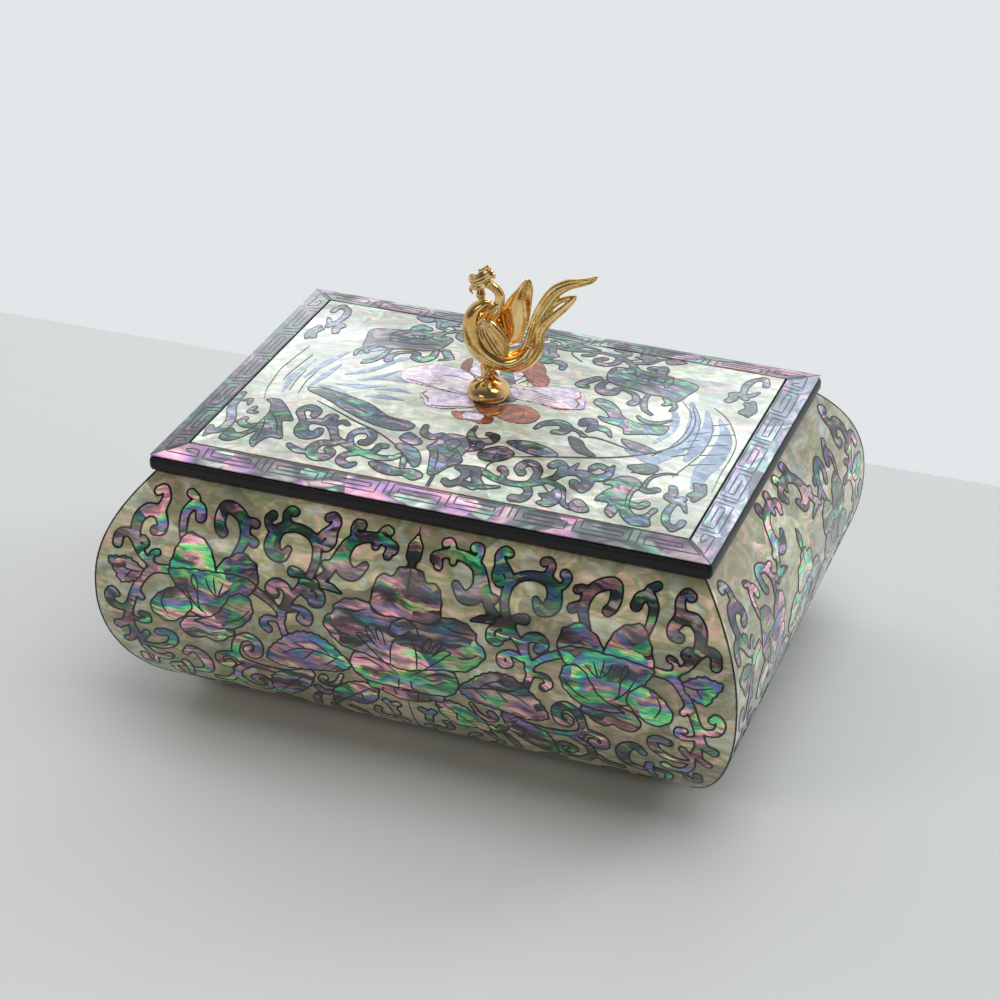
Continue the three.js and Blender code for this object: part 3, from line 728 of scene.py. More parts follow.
@dataclass(frozen=True)
class Spray:
    """A group of the pattern: vine strokes, closed shapes laid over them, and fine lines."""

    strokes: tuple[tuple[Sequence[float], Sequence[float]], ...] = ()
    leaves: tuple[Sequence[float], ...] = ()
    petals: tuple[Sequence[float], ...] = ()
    fine: tuple[Sequence[float], ...] = ()
    pen: float = 0.42
    teeth: float = 0.5
    tooth_pitch: float = 1.9
    frill: float = 0.25
    frill_pitch: float = 3.1

    def draw(self, on: Drawing, shift: tuple[float, float] = (0.0, 0.0), scale: float = 1.0,
             about: tuple[float, float] = (0.0, 0.0), mirror: tuple[int, int] = (1, 1)) -> None:
        """Draws the group.

        Args:
            on: the drawing.
            shift: how far the group moves right and down.
            scale: its size against the written one.
            about: the point that the size is counted from.
            mirror: signs that turn the group over, sideways and up.
        """
        turn = mirror[0] * mirror[1]

        def laid(flat: Sequence[float]) -> Array:
            """Pairs of numbers as points, moved and sized, with v counted upwards."""
            p = np.asarray(flat, float).reshape(-1, 2)
            p = ((p - about) * scale + about + shift) * mirror
            return (p * (1.0, -1.0))[::turn]

        on.scroll([(laid(path), [scale * r for r in radii][::turn]) for radii, path in self.strokes])
        for rings, depth, pitch, sawn in ((self.leaves, self.teeth, self.tooth_pitch, True),
                                          (self.petals, self.frill, self.frill_pitch, False)):
            for ring in rings:
                on.add(on.outline(worked(curve(laid(ring), 7, True), depth * scale, pitch * scale, sawn)))
        on.fine += [(laid(path), self.pen) for path in self.fine]


def both(*half: float) -> tuple[float, ...]:
    """A ring alike on both sides, from its right half, whose end points lie on the middle line."""
    right = list(zip(half[::2], half[1::2]))
    return tuple(n for point in right + [(-x, y) for x, y in right[-2:0:-1]] for n in point)


CROOK = Spray(strokes=(
    ((.9, 1.3, .8), (22.5, 19.4, 19, 16.6, 17.4, 13, 15.2, 9, 12.2, 7, 8.4, 6.6, 5, 7.6, 4.6, 8.6)),
    ((.7, .9, 1.0), (5.5, 7.8, 5.9, 9.8)), ((.8, .8, 1.2), (13.6, 7.6, 14.6, 6, 14.4, 4.4, 13.3, 4.4)),
    ((.7, .8, 1.0), (8.4, 6.6, 8.2, 5, 7.4, 4.2, 6.6, 4.6)), ((.7, .7, .8), (8.8, 6.8, 9, 8.4)),
    ((1.3, 1.9, .9), (15.2, 9.2, 15.9, 12, 15, 14.6, 12.6, 15.2, 10.6, 13)),
    ((.7, .8, 1.0), (17.6, 13.9, 19.6, 14.4)), ((.9, .8, .2), (20, 18.9, 17.5, 19.2, 15.2, 20))
))
FORK = Spray(strokes=(
    ((.8, 1.0, 1.0, 1.9, .8), (23.4, 22, 23, 18.4, 22, 14.5, 22.4, 10.8, 24.6, 8.6, 28, 7.8, 31.5, 8.8,
     32.8, 11.8, 32, 14, 30, 14.6, 28.8, 12.8)),
    ((.9, 1.1, 1.0), (22.6, 10, 21.2, 7.8, 19.6, 6.6, 19, 5, 19.9, 3.8, 21, 4.2)),
    ((1.2, 1.3, 1.3), (19.6, 6.8, 19.4, 9.2, 20.2, 10.4)),
    ((.9, .9, 1.0), (30, 7.8, 30.8, 5.4, 30, 4.2, 29, 4.5)),
    ((.7, .8, 1.1), (32.6, 9.4, 34.2, 8.6, 34.8, 7, 34, 6.2)),
    ((1.0, .9, .8), (21.5, 19, 25.2, 21.4, 28.2, 25.5, 29.2, 29.5, 28.4, 33)),
    ((.7, 1.1, 1.0), (21.4, 19.8, 19.8, 21.4, 20.1, 23.2, 21.7, 23.4, 21.9, 21.9)),
    ((.7, .9, 1.2), (25, 21, 24.4, 18.6, 25.4, 17.6, 27, 17.4)),
    ((.8, 1.2, 1.1), (27.6, 24.4, 28, 21.6, 30.4, 20.8, 32, 22, 30.8, 23.2)),
    ((.7, 1.0, .7), (27.4, 26.4, 24.8, 25.6, 22.6, 26.8, 22.9, 28.6, 24.6, 28.2, 24.2, 26.9)),
    ((.6, .9, 1.0), (28.6, 28.5, 31.5, 25.6, 35.2, 23.6, 38, 22.6)),
    ((.5, .9, 1.0), (29.6, 29.6, 32.4, 29.6, 33.6, 31.2, 32.4, 32.4))
))
BIG_LEAF = Spray(leaves=(
    (12.6, 37.6, 16, 33.8, 20, 31.2, 24.2, 31, 27.8, 32.6, 30.4, 35, 32.6, 37.6, 33.4, 41.2, 29, 42.8,
     25, 42.6, 20, 41.6, 15, 40.4),
), fine=(
    (12.8, 37.6, 17, 36.5, 22, 35.7, 26, 36.4, 29.4, 38.6), (16.2, 36.7, 19.2, 39.6),
    (21.4, 35.8, 24.2, 38.8), (17.6, 36.2, 20, 34.2, 22.6, 33.2), (23.4, 35.8, 26.4, 34.6)
))
LOW_LEAVES = Spray(strokes=(
    ((.5, .8, 1.0), (15.4, 41.6, 17, 44.6, 19, 46, 20.6, 44.9, 19.9, 43.6)),
    ((.7, .8, 1.1), (19.2, 48.6, 20.6, 50, 22, 48.2)), ((1.0, .8, 1.0), (3, 48, 4.3, 49.6, 3.9, 52.4)),
    ((.7, .8, 1.0), (4.3, 49.8, 5.6, 47.8)), ((.9, .8, .7), (8.2, 51.6, 8.8, 54, 7, 56, 5.8, 55.4)),
    ((.7, .9, .8), (22.6, 51.2, 23.8, 54, 24.2, 57.4)), ((.8, .9, .9), (12.6, 58.6, 13.4, 56, 15.2, 54.6)),
    ((.8, .8, .8), (3.4, 59, 2.6, 56.4, 4.2, 55.6)), ((.7, 1.0, .9), (17.4, 60, 19.6, 58.2, 20.2, 56))
), leaves=(
    (7, 43.6, 8.4, 48.4, 12, 51.2, 16, 50.6, 19.2, 54.6, 17.8, 47.4, 13.6, 43.6, 10, 42.6),
    (22.4, 42.4, 24.6, 48.6, 29, 53.6, 33.4, 55.4, 33.8, 50, 31.8, 46, 27.4, 43.8)
), fine=(
    (8.6, 43.8, 12, 46.8, 16.6, 51.2), (11.4, 46.2, 11.2, 49.4), (13.6, 48.2, 16.6, 48),
    (24, 43.6, 28, 48, 32.6, 54), (27, 46.8, 26.8, 50), (29.4, 49.8, 32.4, 49.6)
))
SPIRAL = Spray(strokes=(
    ((.9, 1.2, .7), (40.5, 44.2, 41.2, 41, 40, 37.4, 37.4, 36, 35.4, 37.6, 35.6, 40.4, 37.4, 41.4, 38.4, 40,
     37.4, 38.9)),
    ((.6, 1.0, 1.2), (38.5, 44.4, 42.2, 42.6, 45.4, 43.6, 45.9, 46, 44.2, 46.9, 43.2, 45.6)),
    ((.6, .7, .9), (27.5, 44.4, 33, 45, 38.8, 44.4)),
    ((.8, 1.0, 1.1), (38.6, 45.2, 41.8, 48, 42.4, 51.6, 40.4, 54.4)),
    ((.7, .9, .9), (40.8, 55.2, 36.4, 54.6, 34.6, 51.4, 36.4, 49, 38.4, 50.4, 37.2, 52)),
    ((.8, .9, .9), (43.8, 51.6, 45.6, 54, 48.6, 54.6)), ((.7, .8, .8), (29, 59.4, 31.6, 57.8, 34.6, 58)),
    ((.7, .9, .8), (43.6, 60, 46, 58.4, 48.8, 59.2))
))
PEONY = Spray(strokes=(
    ((.9, 1.4, 1.2), (41, 17, 39.6, 13.5, 39.6, 10.5, 40.8, 8, 43.4, 6.4, 45.4, 6.4, 46, 8.8, 45.6, 11,
     44.8, 12)),
    ((.8, .8, 1.0), (40, 9.6, 38.6, 8.4, 37.4, 8.8)), ((.7, .8, 1.1), (39.6, 13.6, 38.2, 12.2, 37, 12.9)),
    ((.8, 1.1, 1.3), (53.8, 15, 54.4, 12.4, 54.4, 9.4, 53, 7.4, 51.2, 7.8, 50.6, 9.6)),
    ((.8, .8, 1.0), (53.2, 7.4, 52.6, 5.8, 54.2, 4.8))
), petals=(
    (35.6, 23.6, 35.4, 18, 37, 16.6, 39.4, 15.4, 41.8, 16.6, 43.8, 18, 45.2, 20.6, 46, 26),
    (44.8, 25, 45.6, 19, 47.6, 15.2, 50.4, 13.6, 53, 13.4, 54.6, 15.6, 55.8, 18.6, 56.6, 23.4, 53, 27),
    (35.2, 22.4, 39, 20.8, 45, 21, 51, 21.4, 56.8, 22.6, 55.4, 25.6, 52.6, 31.8, 44.6, 33, 38.6, 27),
    (53, 34, 50.8, 30.4, 53.8, 26.8, 57, 27.4, 60, 29.8, 61.6, 32.8, 60.2, 35.2, 57, 36.4),
    (41.2, 35, 43, 37.6, 45.6, 39.2, 48.2, 38.4, 51.2, 39.4, 53.8, 38, 53.6, 35.2, 49.6, 33.4),
    (35.9, 29, 36.6, 26, 38.8, 24.9, 41.4, 26, 43.4, 29, 45.4, 31.6, 49, 33.4, 50.6, 34.6, 46, 35.4, 41, 34.8,
     37.4, 32)
), fine=(
    (43.2, 23.4, 44, 25.6, 44.6, 27.2), (45.6, 22.4, 45.4, 24.6, 44.8, 27),
    (47.6, 23, 46.6, 25.4, 44.9, 27.1), (41.4, 24.4, 43, 26, 44.4, 27.2),
    (49.4, 26.4, 49.6, 24.4, 50.6, 22.8, 51, 24.6, 49.6, 27, 49.2, 30.4, 47.4, 32.2),
    (52.6, 26, 51, 29, 48.4, 31.8), (36.6, 28.6, 39.4, 31.6, 43, 33.2), (57.6, 28.6, 58.6, 31.4, 57.2, 34.4)
))
OUTER = Spray(strokes=(
    ((.7, 1.5, 1.1), (60.2, 22.6, 63.4, 20.6, 65.4, 16.8, 65.4, 12.8, 63.4, 10.4, 60.8, 10.6, 59.4, 12.6,
     59.6, 14.2, 61, 14.6)),
    ((1.2, .9, 1.1), (60.4, 9.8, 59.7, 6.8, 60.6, 5, 61.9, 5.7)),
    ((.7, 1.1, 1.2), (65, 18, 67.4, 16.2, 69.3, 17, 69.7, 19)),
    ((.6, .7, .9), (64.2, 19.4, 62.6, 18, 63.4, 17)), ((.6, .7, .8), (61.6, 22.2, 60.8, 19.9, 59.7, 19.4)),
    ((1.0, 1.0, .8), (56.4, 22.8, 60.4, 23.4, 63, 25.8, 65, 29.4, 66.4, 33.2, 67.2, 37, 66.8, 41.5)),
    ((.6, 1.1, .9), (66.2, 32.8, 68.2, 35, 70.9, 34.6, 71.9, 32.4, 71, 30.9, 70, 31.7)),
    ((.6, .9, 1.2), (67.4, 36, 68.6, 39.4, 70.4, 40.4)),
    ((.5, .8, .8), (66.4, 37.4, 64.4, 37.9, 62.6, 37.4, 62.7, 36, 64, 35.9)),
    ((.8, .8, .8), (64.6, 29.8, 63.6, 31.2)), ((.8, .8, .9), (66.8, 41.2, 65.2, 43.4, 63.6, 41.6)),
    ((.8, .8, 1.0), (66.8, 41.4, 67.6, 44, 69, 45)),
    ((.6, 1.0, 1.0), (65.6, 43.6, 65.2, 46.8, 63.2, 49.5, 60.5, 49.7, 59.2, 48.5)),
    ((.5, 1.2, 1.0), (65.2, 45.6, 61.4, 45.6, 57.8, 43.6, 56.8, 41, 58.2, 40, 60.4, 40.5)),
    ((.9, 1.6, .8), (53.5, 53, 50.4, 51.4, 49.6, 47.8, 50.8, 44.8, 53, 44, 54.6, 45.8)),
    ((.7, .9, 1.0), (55.8, 56, 55.2, 52, 55.6, 50)), ((.8, .9, .8), (58.8, 57, 59.5, 53, 57.4, 51.8)),
    ((1.0, 1.0, .5), (66.3, 50.6, 66, 53.4, 64.2, 53.4, 63.4, 50.6)),
    ((.7, .8, .8), (52, 59.6, 54.6, 59.8, 57, 58.6))
), leaves=((62.8, 24.4, 65.2, 22.2, 68, 21.6, 72, 22.8, 70.4, 25.8, 68.6, 28.4, 65, 27.4),), fine=(
    (63.4, 24.6, 66, 24.9, 69.6, 23.9), (66, 25, 67.6, 27)
))
CENTRE = Spray(strokes=(((.9, .9), (0, 12, 0, 10.4)),), petals=(
    both(0, 3.8, 1.5, 6, 1.9, 8.2, 1.2, 10.2, 0, 11.2),
    both(0, 11.2, 2.6, 11.6, 4.2, 13.8, 6.2, 13.6, 7.6, 15.4, 8.2, 18.2, 7.6, 22, 0, 24),
    both(0, 22.6, 6.4, 22.8, 8.4, 20.8, 11.4, 20.4, 14.4, 21, 16.6, 22.8, 17, 24.6, 18.8, 26.2, 19, 28.2,
     17, 30.8, 14.4, 32.8, 10.4, 33.6, 0, 36),
    both(0, 42, 8.4, 40.8, 8.8, 43.2, 6, 43.8, 3.2, 45, 0, 45.4),
    both(0, 35.6, 5, 34.4, 10.6, 33.2, 12.8, 35.4, 12.4, 38.6, 10, 41, 5, 41.8, 0, 41.6),
    both(0, 22.6, 2.6, 23.8, 3.7, 26.2, 2.4, 27.6, 0, 26.8)
), fine=(
    (1.8, 27.6, 3, 30.6, 3.1, 35.2), (1.2, 37.4, 5.6, 33.8, 9.8, 30, 11, 28.6, 9, 28.6, 5.8, 31.4),
    (4.2, 30.4, 5, 27.4, 6.2, 26.2, 6.4, 27.6, 5.2, 30.4),
    (6.2, 30, 7.4, 27.6, 8.8, 26.6, 8.6, 28, 6.6, 30.4), (4.6, 36.6, 8.4, 34.8, 12, 35.2),
    (2.8, 42, 2.6, 44.4), (5.4, 42.4, 5.8, 43.6), (9, 22.4, 12, 23.4, 16.4, 23.2),
    (0, 11.4, 0.02, 14, 0, 16.6), (1.4, 38.4, 1.6, 41.2), (12.6, 29.6, 15, 29.2, 17.4, 27.8)
))
VINE = Spray(teeth=0.0, strokes=(
    ((.8, .9, .8), (3, 31, 8, 30.6, 12, 32.4, 17, 32.8, 21, 31.2, 24, 28.4, 26, 25.8, 29.5, 24.4)),
    ((.8, 1.1, 1.1), (20, 31, 20.3, 27.5, 18.6, 25.2, 16.6, 25.3, 15.8, 27.4, 16.8, 28.8)),
    ((.6, .8, 1.0), (13.5, 31.8, 13.4, 29.8, 12.2, 28.8)),
    ((.9, 1.1, 1.1), (24.8, 26.6, 24.8, 23.8, 23.2, 22.8, 22.4, 24.2)),
    ((.6, .6, .2), (26.6, 25.2, 27.4, 21.4)), ((1.1, 1.2, .3), (29.6, 24.6, 33, 25, 34.8, 22.8, 34.9, 19.2)),
    ((.8, .9, .9), (34, 21, 31.8, 20.4, 30.8, 22)),
    ((1.1, 1.4, .9), (29, 24.8, 31.2, 26.4, 31.6, 28.8, 31.2, 30.4)),
    ((.8, 1.0, .9), (31.4, 29, 29.4, 29.4, 28.6, 28.2)),
    ((.7, 1.1, 1.1), (19, 32.6, 20.5, 34.6, 19.9, 36.8, 17.8, 37.3)),
    ((.6, .7, .5), (24, 29.8, 27, 31.2, 28, 33.8, 29, 36, 31, 37)),
    ((.9, 1.1, .3), (7.4, 31.4, 8.4, 34.2, 10.2, 35.6, 13.8, 34.8)),
    ((.8, 1.0, .8), (8.4, 36.4, 5, 35.6, 3, 36.8, 1.6, 36)), ((.8, 1.0, .3), (4, 31.2, 5.4, 33, 4.2, 35.4))
), leaves=(
    (30.2, 36.4, 30.8, 33.9, 32.6, 33.8, 35, 36.6, 32.6, 37.7),
    (22.8, 34.4, 24.8, 33.4, 26, 31.2, 27.6, 33, 27.8, 36, 26, 37.9, 23.2, 37.3, 24.2, 35.8)
), fine=((8.8, 30, 9, 28, 11, 25.8, 13, 24), (22.4, 31, 24.8, 33.4)), pen=0.4)
NEAR_LEAVES = Spray(teeth=0.0, strokes=(
    ((.3, 1.0, 1.3, 1.0, .8), (1.2, 15.4, 1.2, 18.8, 3.4, 21, 6.2, 20, 6.8, 18, 5, 17.4)),
), leaves=(
    (9.8, 18.8, 13, 17.4, 17, 17.4, 19.6, 18.2, 22.2, 20.2, 19, 21.8, 15, 21.4, 12, 20.4),
    (5.4, 24.4, 7.6, 22, 10, 21, 12.6, 22.4, 13, 23.8, 11.4, 26, 8.6, 27.2, 6, 26.6),
    (33, 8, 36, 7.8, 40, 8.6, 41.8, 9.8, 39, 11.2, 35, 10.4),
    (22, 12, 25, 12.4, 27, 15, 30, 17.4, 26, 17.4, 23.4, 15)
), fine=(
    (13, 24, 20, 21.5, 27, 19, 33, 16.4, 38, 13, 42, 9, 45, 4, 46, -2, 45.4, -8, 43, -14),
    (24, 11, 28, 10, 34, 11, 38, 12)
), pen=0.46)
COLUMN = Spray(teeth=0.0, strokes=(
    ((.8, 1.0, 1.0), (42.4, 31.2, 44.6, 31.5, 45.6, 30)), ((.6, .9, .9), (42.4, 24.8, 44.6, 25.3, 46.2, 24)),
    ((.45, .4, .2), (43.4, 24.6, 43.5, 20.6, 45.6, 17.4, 48.4, 16))
), leaves=(
    (34.8, 26.2, 36.6, 23.6, 38.6, 21.8, 41.4, 22, 42.8, 24.2, 42, 27, 42.2, 30.6, 43, 33, 45, 34.6,
     46.8, 33.6, 47.6, 31, 48.8, 31.4, 48, 34.4, 48.8, 37.6, 45, 38.2, 42.2, 36.2, 41, 34.2, 40.2, 37.2,
     38.2, 35.6, 38, 32.6, 35, 32.6, 35.8, 29.4, 37.2, 26.6),
    (37.6, 18, 39.4, 16.4, 42, 15, 44.2, 16, 43, 18.8, 40.4, 19.6)
), fine=((39, 20, 44.6, 18), (41.6, 24, 41, 28, 41.8, 33)), pen=0.3)
STEM = Spray(teeth=0.0, strokes=(
    ((.9, 1.1, .9), (49.2, 21.6, 49.9, 23.6, 49.4, 25.4, 51.2, 26.2, 52.4, 24.8)),
    ((.6, .9, .8), (51.6, 26, 51, 29, 50.9, 32, 51.8, 35, 53.8, 36.8)),
    ((.8, .8, .8), (53.8, 36.8, 54.8, 35, 55, 33.4)), ((.7, .6, .3), (53, 26.6, 54.5, 29.4)),
    ((.7, 1.0, .9), (53.4, 22.6, 54.6, 20.4, 53.6, 18)), ((.6, .8, .4), (54.6, 24, 55.6, 20.4, 55, 17))
))
BIRD = Spray(teeth=0.0, strokes=(
    ((.6, 1.2, 1.3, .9), (21.2, -17, 20.8, -13.4, 22.2, -10.9, 24.4, -11.8, 24.8, -13.8)),
    ((.4, .8, 1.1), (25.6, -14.6, 29, -13.4, 30.4, -10.6, 30, -8.6)),
    ((.4, .8, .5), (32, -15, 32.4, -10.4, 33.6, -7.2, 35.4, -5.9)),
    ((.6, .7, .5), (36, -15, 37.4, -13, 36.8, -11.6)), ((.5, .6, .4), (37.8, -15, 39.3, -12, 39, -9.7)),
    ((1.0, 1.2, .9), (19, -17.6, 17, -14.4, 16.3, -12.2, 17.8, -12))
), leaves=(
    (20, -24.4, 20.8, -18.4, 24, -16, 29, -15.6, 32, -15, 36, -15.6, 38.8, -14.4, 40.2, -19, 41, -25,
     36, -26.6, 28, -27, 22, -26.6),
), fine=((22, -21, 27, -19.4, 33, -19.6, 38, -18), (24, -24, 30, -22.6, 36, -23)))
DARK_LEAF = Spray(teeth=0.0, strokes=(
    ((.4, .8, .3), (33.2, -3.4, 35, -2.1, 38, -2.6, 40.4, -5.4)),
    ((1.0, 1.3, .6), (23, 5.6, 23, 4, 24.4, 3.6, 25.3, 5, 25, 6.6)),
    ((.5, 1.1, .3), (25, 8, 26.6, 5.8, 28.8, 6, 30.4, 8)),
    ((.5, 1.2, 1.3, .8), (13.8, 11.4, 15, 8.8, 18, 7.2, 20, 8.2, 20, 10.6, 18.2, 11.4)),
    ((.5, .5, .6), (20.2, 8.2, 23, 9, 25, 10.4))
), leaves=(
    (22.4, -7.4, 25.4, -7.2, 28, -5, 30, -2, 33, -.6, 37, -.8, 40.6, -2.6, 40.6, 1.6, 37.6, 3, 33, 5.6,
     31.6, 3.2, 27, 2.4, 25, .6, 27.4, .2, 25.4, -2.6, 22.2, -4.8),
))
RIGHT_FEATHERS = Spray(teeth=0.0, fine=(
    (39.9, -15.8, 42.8, -12, 44.3, -8.4, 44.9, -3, 44.6, 1.8, 43.4, 7, 41, 11.8),
    (42.8, -15.4, 45.4, -11, 46.9, -6.4, 47.6, 0, 47.6, 5),
    (48.2, -11.4, 50, -6, 50.7, -.6, 50.6, 5, 49.7, 9.8, 47.8, 17.6),
    (47.4, -16.4, 50.6, -14, 53.3, -10.4, 56.2, -4, 56.9, 3, 56.8, 9.8, 57.2, 19), (46, 2, 48.8, -.6),
    (45.6, 6, 48.6, 3), (44.8, 10, 48.4, 6.6), (50.8, 1, 55.6, -2.6), (50.4, 6, 55.2, 2.4),
    (49.6, 11, 54.8, 7.4), (50.6, -4, 55, -7.4), (49, -8, 52.6, -11), (46.6, -2, 49.6, -5)
), pen=0.24)
LEFT_FEATHERS = Spray(teeth=0.0, fine=(
    (-50.8, 16, -52.4, 11, -52.9, 7.3, -53.6, 2, -53.5, -2.1, -52.1, -12.7),
    (-50.4, 6.3, -50.6, 3, -50.3, -.1, -49.2, -7.9), (-46.7, 11.2, -47.3, 5.1, -47.1, .3),
    (-44, 12, -44.6, 6, -44.2, 1)
), pen=0.24)
MIST = (
    ((.5, 1.5, 1.7, 1.1), (42.2, -16, 45, -8, 46.2, 0, 44.6, 8, 42, 14)),
    ((.4, 1.5, 1.6, .8), (46.4, -14, 49, -6, 49.2, 2, 48.4, 9)),
    ((.4, 1.9, 2.2, 1.2), (50, -12, 53.4, -5, 54, 4, 53, 12, 53.4, 19)),
    ((.3, 1.0, 1.1, .4), (38.6, -12, 41, -7, 41.6, -1, 40, 6)),
    ((.3, 1.2, .5), (35, 11.6, 40, 13.4, 44.6, 16)), ((.2, 1.0, .3), (-37.1, 6, -31.2, 6, -25.3, 4.5)),
    ((.2, 1.1, .3), (-37, 1.1, -32.5, -2.2, -27.9, -7.3)),
    ((.2, .9, .2), (-36.1, -7.3, -33.5, -10, -31.2, -11.7)),
    ((.2, 1.0, .2), (-40.9, 7.4, -36.9, 8.2, -32.3, 10.3)),
    ((.2, 1.0, .2), (-28, 10.2, -23.9, 9.4, -18.7, 9.7)), ((.2, 1.1, .4), (-27.7, 1.5, -24, .4, -21, 1.2)),
    ((.2, .9, .2), (-39.3, -9.3, -35.6, -13.2, -31.1, -15)), ((.3, 1.2, .3), (-46, 4, -44, -4, -41, -11)),
    ((.3, 1.1, .3), (-43, 9, -41.4, 2, -40, -4)), ((.2, .9, .2), (-33, 3, -29, 1, -25, -4)),
    ((.2, .9, .2), (-31, -4.6, -27, -10, -22, -13)), ((.3, 1.1, .3), (-48, 12, -49, 4, -47.4, -6)),
    ((.2, .8, .2), (-27, 6.6, -22, 5.4, -18.4, 6))
)
BUD = Spray(teeth=0.0, strokes=(
    ((.7, 1.0, .8), (-9.6, 18.8, -9, 21.4, -6.6, 22.4, -5, 21)), ((.3, .3), (-1.4, 34.6, -1.4, 39)),
    ((.7, .9, .8), (3, 24.4, 4.6, 23, 4.4, 21.4))
), leaves=(
    (-5.6, 24.6, -4.2, 20.6, -1.4, 19.8, 1.2, 20.6, 2.8, 23.6, 2.2, 27, 3, 29.2, .8, 31.6, -1, 34.6, -2.8, 35,
     -3.8, 31.6, -5, 28, -6.4, 26.2),
), fine=(
    (-3.4, 23, -1.4, 21.4, .4, 23, -1, 26, -3.4, 23), (-4, 26, -2.6, 29.4, -2, 33), (.6, 26, -.4, 30)
))
LEFT_VINE = Spray(teeth=0.0, strokes=(
    ((.9, 1.2, 1.0, .9, 1.0, .9, .6), (-37, 24.2, -34, 23.4, -31, 23.8, -29, 26, -27.4, 28.6, -24, 30.4,
     -20, 32, -16, 32.8, -12.6, 32.2, -11.2, 30.8)),
    ((1.3, 1.7, 1.5, 1.0), (-36.8, 25, -36.4, 27.4, -34.6, 29.2, -32.4, 28.4, -32.2, 26.8)),
    ((.8, 1.2, 1.0), (-38, 23, -39.8, 20, -38.4, 18, -36, 19.2, -35.8, 21)),
    ((.6, .8, .4), (-32.2, 23.4, -32.4, 20.8, -30.8, 20.6, -30.4, 22.6)),
    ((.6, .8, .6), (-29.6, 23.6, -28.4, 22.2, -26.8, 23)),
    ((.6, 1.0, 1.1, 1.0), (-23.2, 29.8, -24.4, 27, -23.4, 24.8, -21, 24.4, -19.6, 26, -19.9, 28.4,
     -21, 28.6)),
    ((.7, .9, .8), (-18.6, 32, -17, 30.6, -16.6, 28.8, -15.3, 28.6)),
    ((.6, 1.0, 1.0, .7), (-21, 33, -22.9, 33.8, -23.2, 36, -21, 37, -19.8, 36.2)),
    ((.9, 1.3, 1.2, .9), (-27, 30.8, -29.8, 31.2, -31, 33.8, -29.6, 36, -27.2, 35.8, -26.2, 34, -27.4, 33)),
    ((.5, .9, .6), (-31, 34.8, -33.2, 35.2, -35.4, 34.4, -36.6, 33.6)),
    ((1.0, 1.6, 1.4, .9), (-12.4, 27.6, -9.4, 28.8, -7.4, 31, -6.6, 32.8)),
    ((.6, .7, .5), (-9.8, 31.4, -9, 34.4))
), leaves=(
    (-42.4, 10, -36, 13.6, -30, 17.4, -24, 20.4, -18, 22.2, -13.6, 21.8, -12, 19.6, -14, 18.2, -19, 17.4,
     -22, 15.6, -25, 13.6, -30, 11.6, -36, 9.6, -40, 8.6),
    (-13.6, 24.6, -12.4, 22.2, -10, 23.2, -8, 25, -9.4, 26.4, -11.8, 26),
    (-16.8, 34.8, -14, 34.2, -10, 35, -6.6, 34.4, -4.2, 35, -3.6, 36.4, -5.4, 37.8, -8, 37, -11, 37.6,
     -14.6, 36.8)
), fine=(
    (-38, 14.8, -30, 19, -25, 21.6, -20, 23.6, -16, 25.8, -12.6, 28), (-24, 18.6, -20, 17.6, -14, 19.4),
    (-36, 11, -30, 14.6, -24, 17.6)
), pen=0.4)
LEFT_COLUMN = Spray(teeth=0.0, strokes=(
    ((.7, 1.0, .8), (-47, 28, -49, 28.8, -51.2, 27.4, -51, 25.9)),
    ((.9, 1.0, 1.1, 1.2, .8), (-57.2, 14, -57, 18, -56.4, 21.6, -54.8, 25, -53.8, 28.6, -54.4, 31.8,
     -56.4, 32.8, -57.2, 31)),
    ((.6, .7, .3), (-56.4, 33, -56.8, 35.4)), ((.4, .7, .4), (-55, 17.4, -53.8, 17, -53.3, 19)),
    ((.6, .7, .6), (-51, 20.4, -51.4, 22.4, -49.9, 22.6))
), leaves=(
    (-47, 26, -46.8, 22, -48.2, 18, -50, 16.2, -47, 15.8, -44.2, 18.4, -41.8, 21.4, -39.8, 24.4, -42, 25,
     -41, 27.6, -39.2, 31.8, -42, 32, -43.4, 34, -44.2, 36.6, -46, 34, -45.8, 30.4, -47.4, 32.2, -48.4, 34,
     -50.6, 36, -53.2, 35, -52.2, 30.6, -50, 32.2, -47.8, 30),
), fine=((-47, 21, -43, 26, -41, 30.6), (-46.4, 25, -45.2, 29, -44.6, 34)))
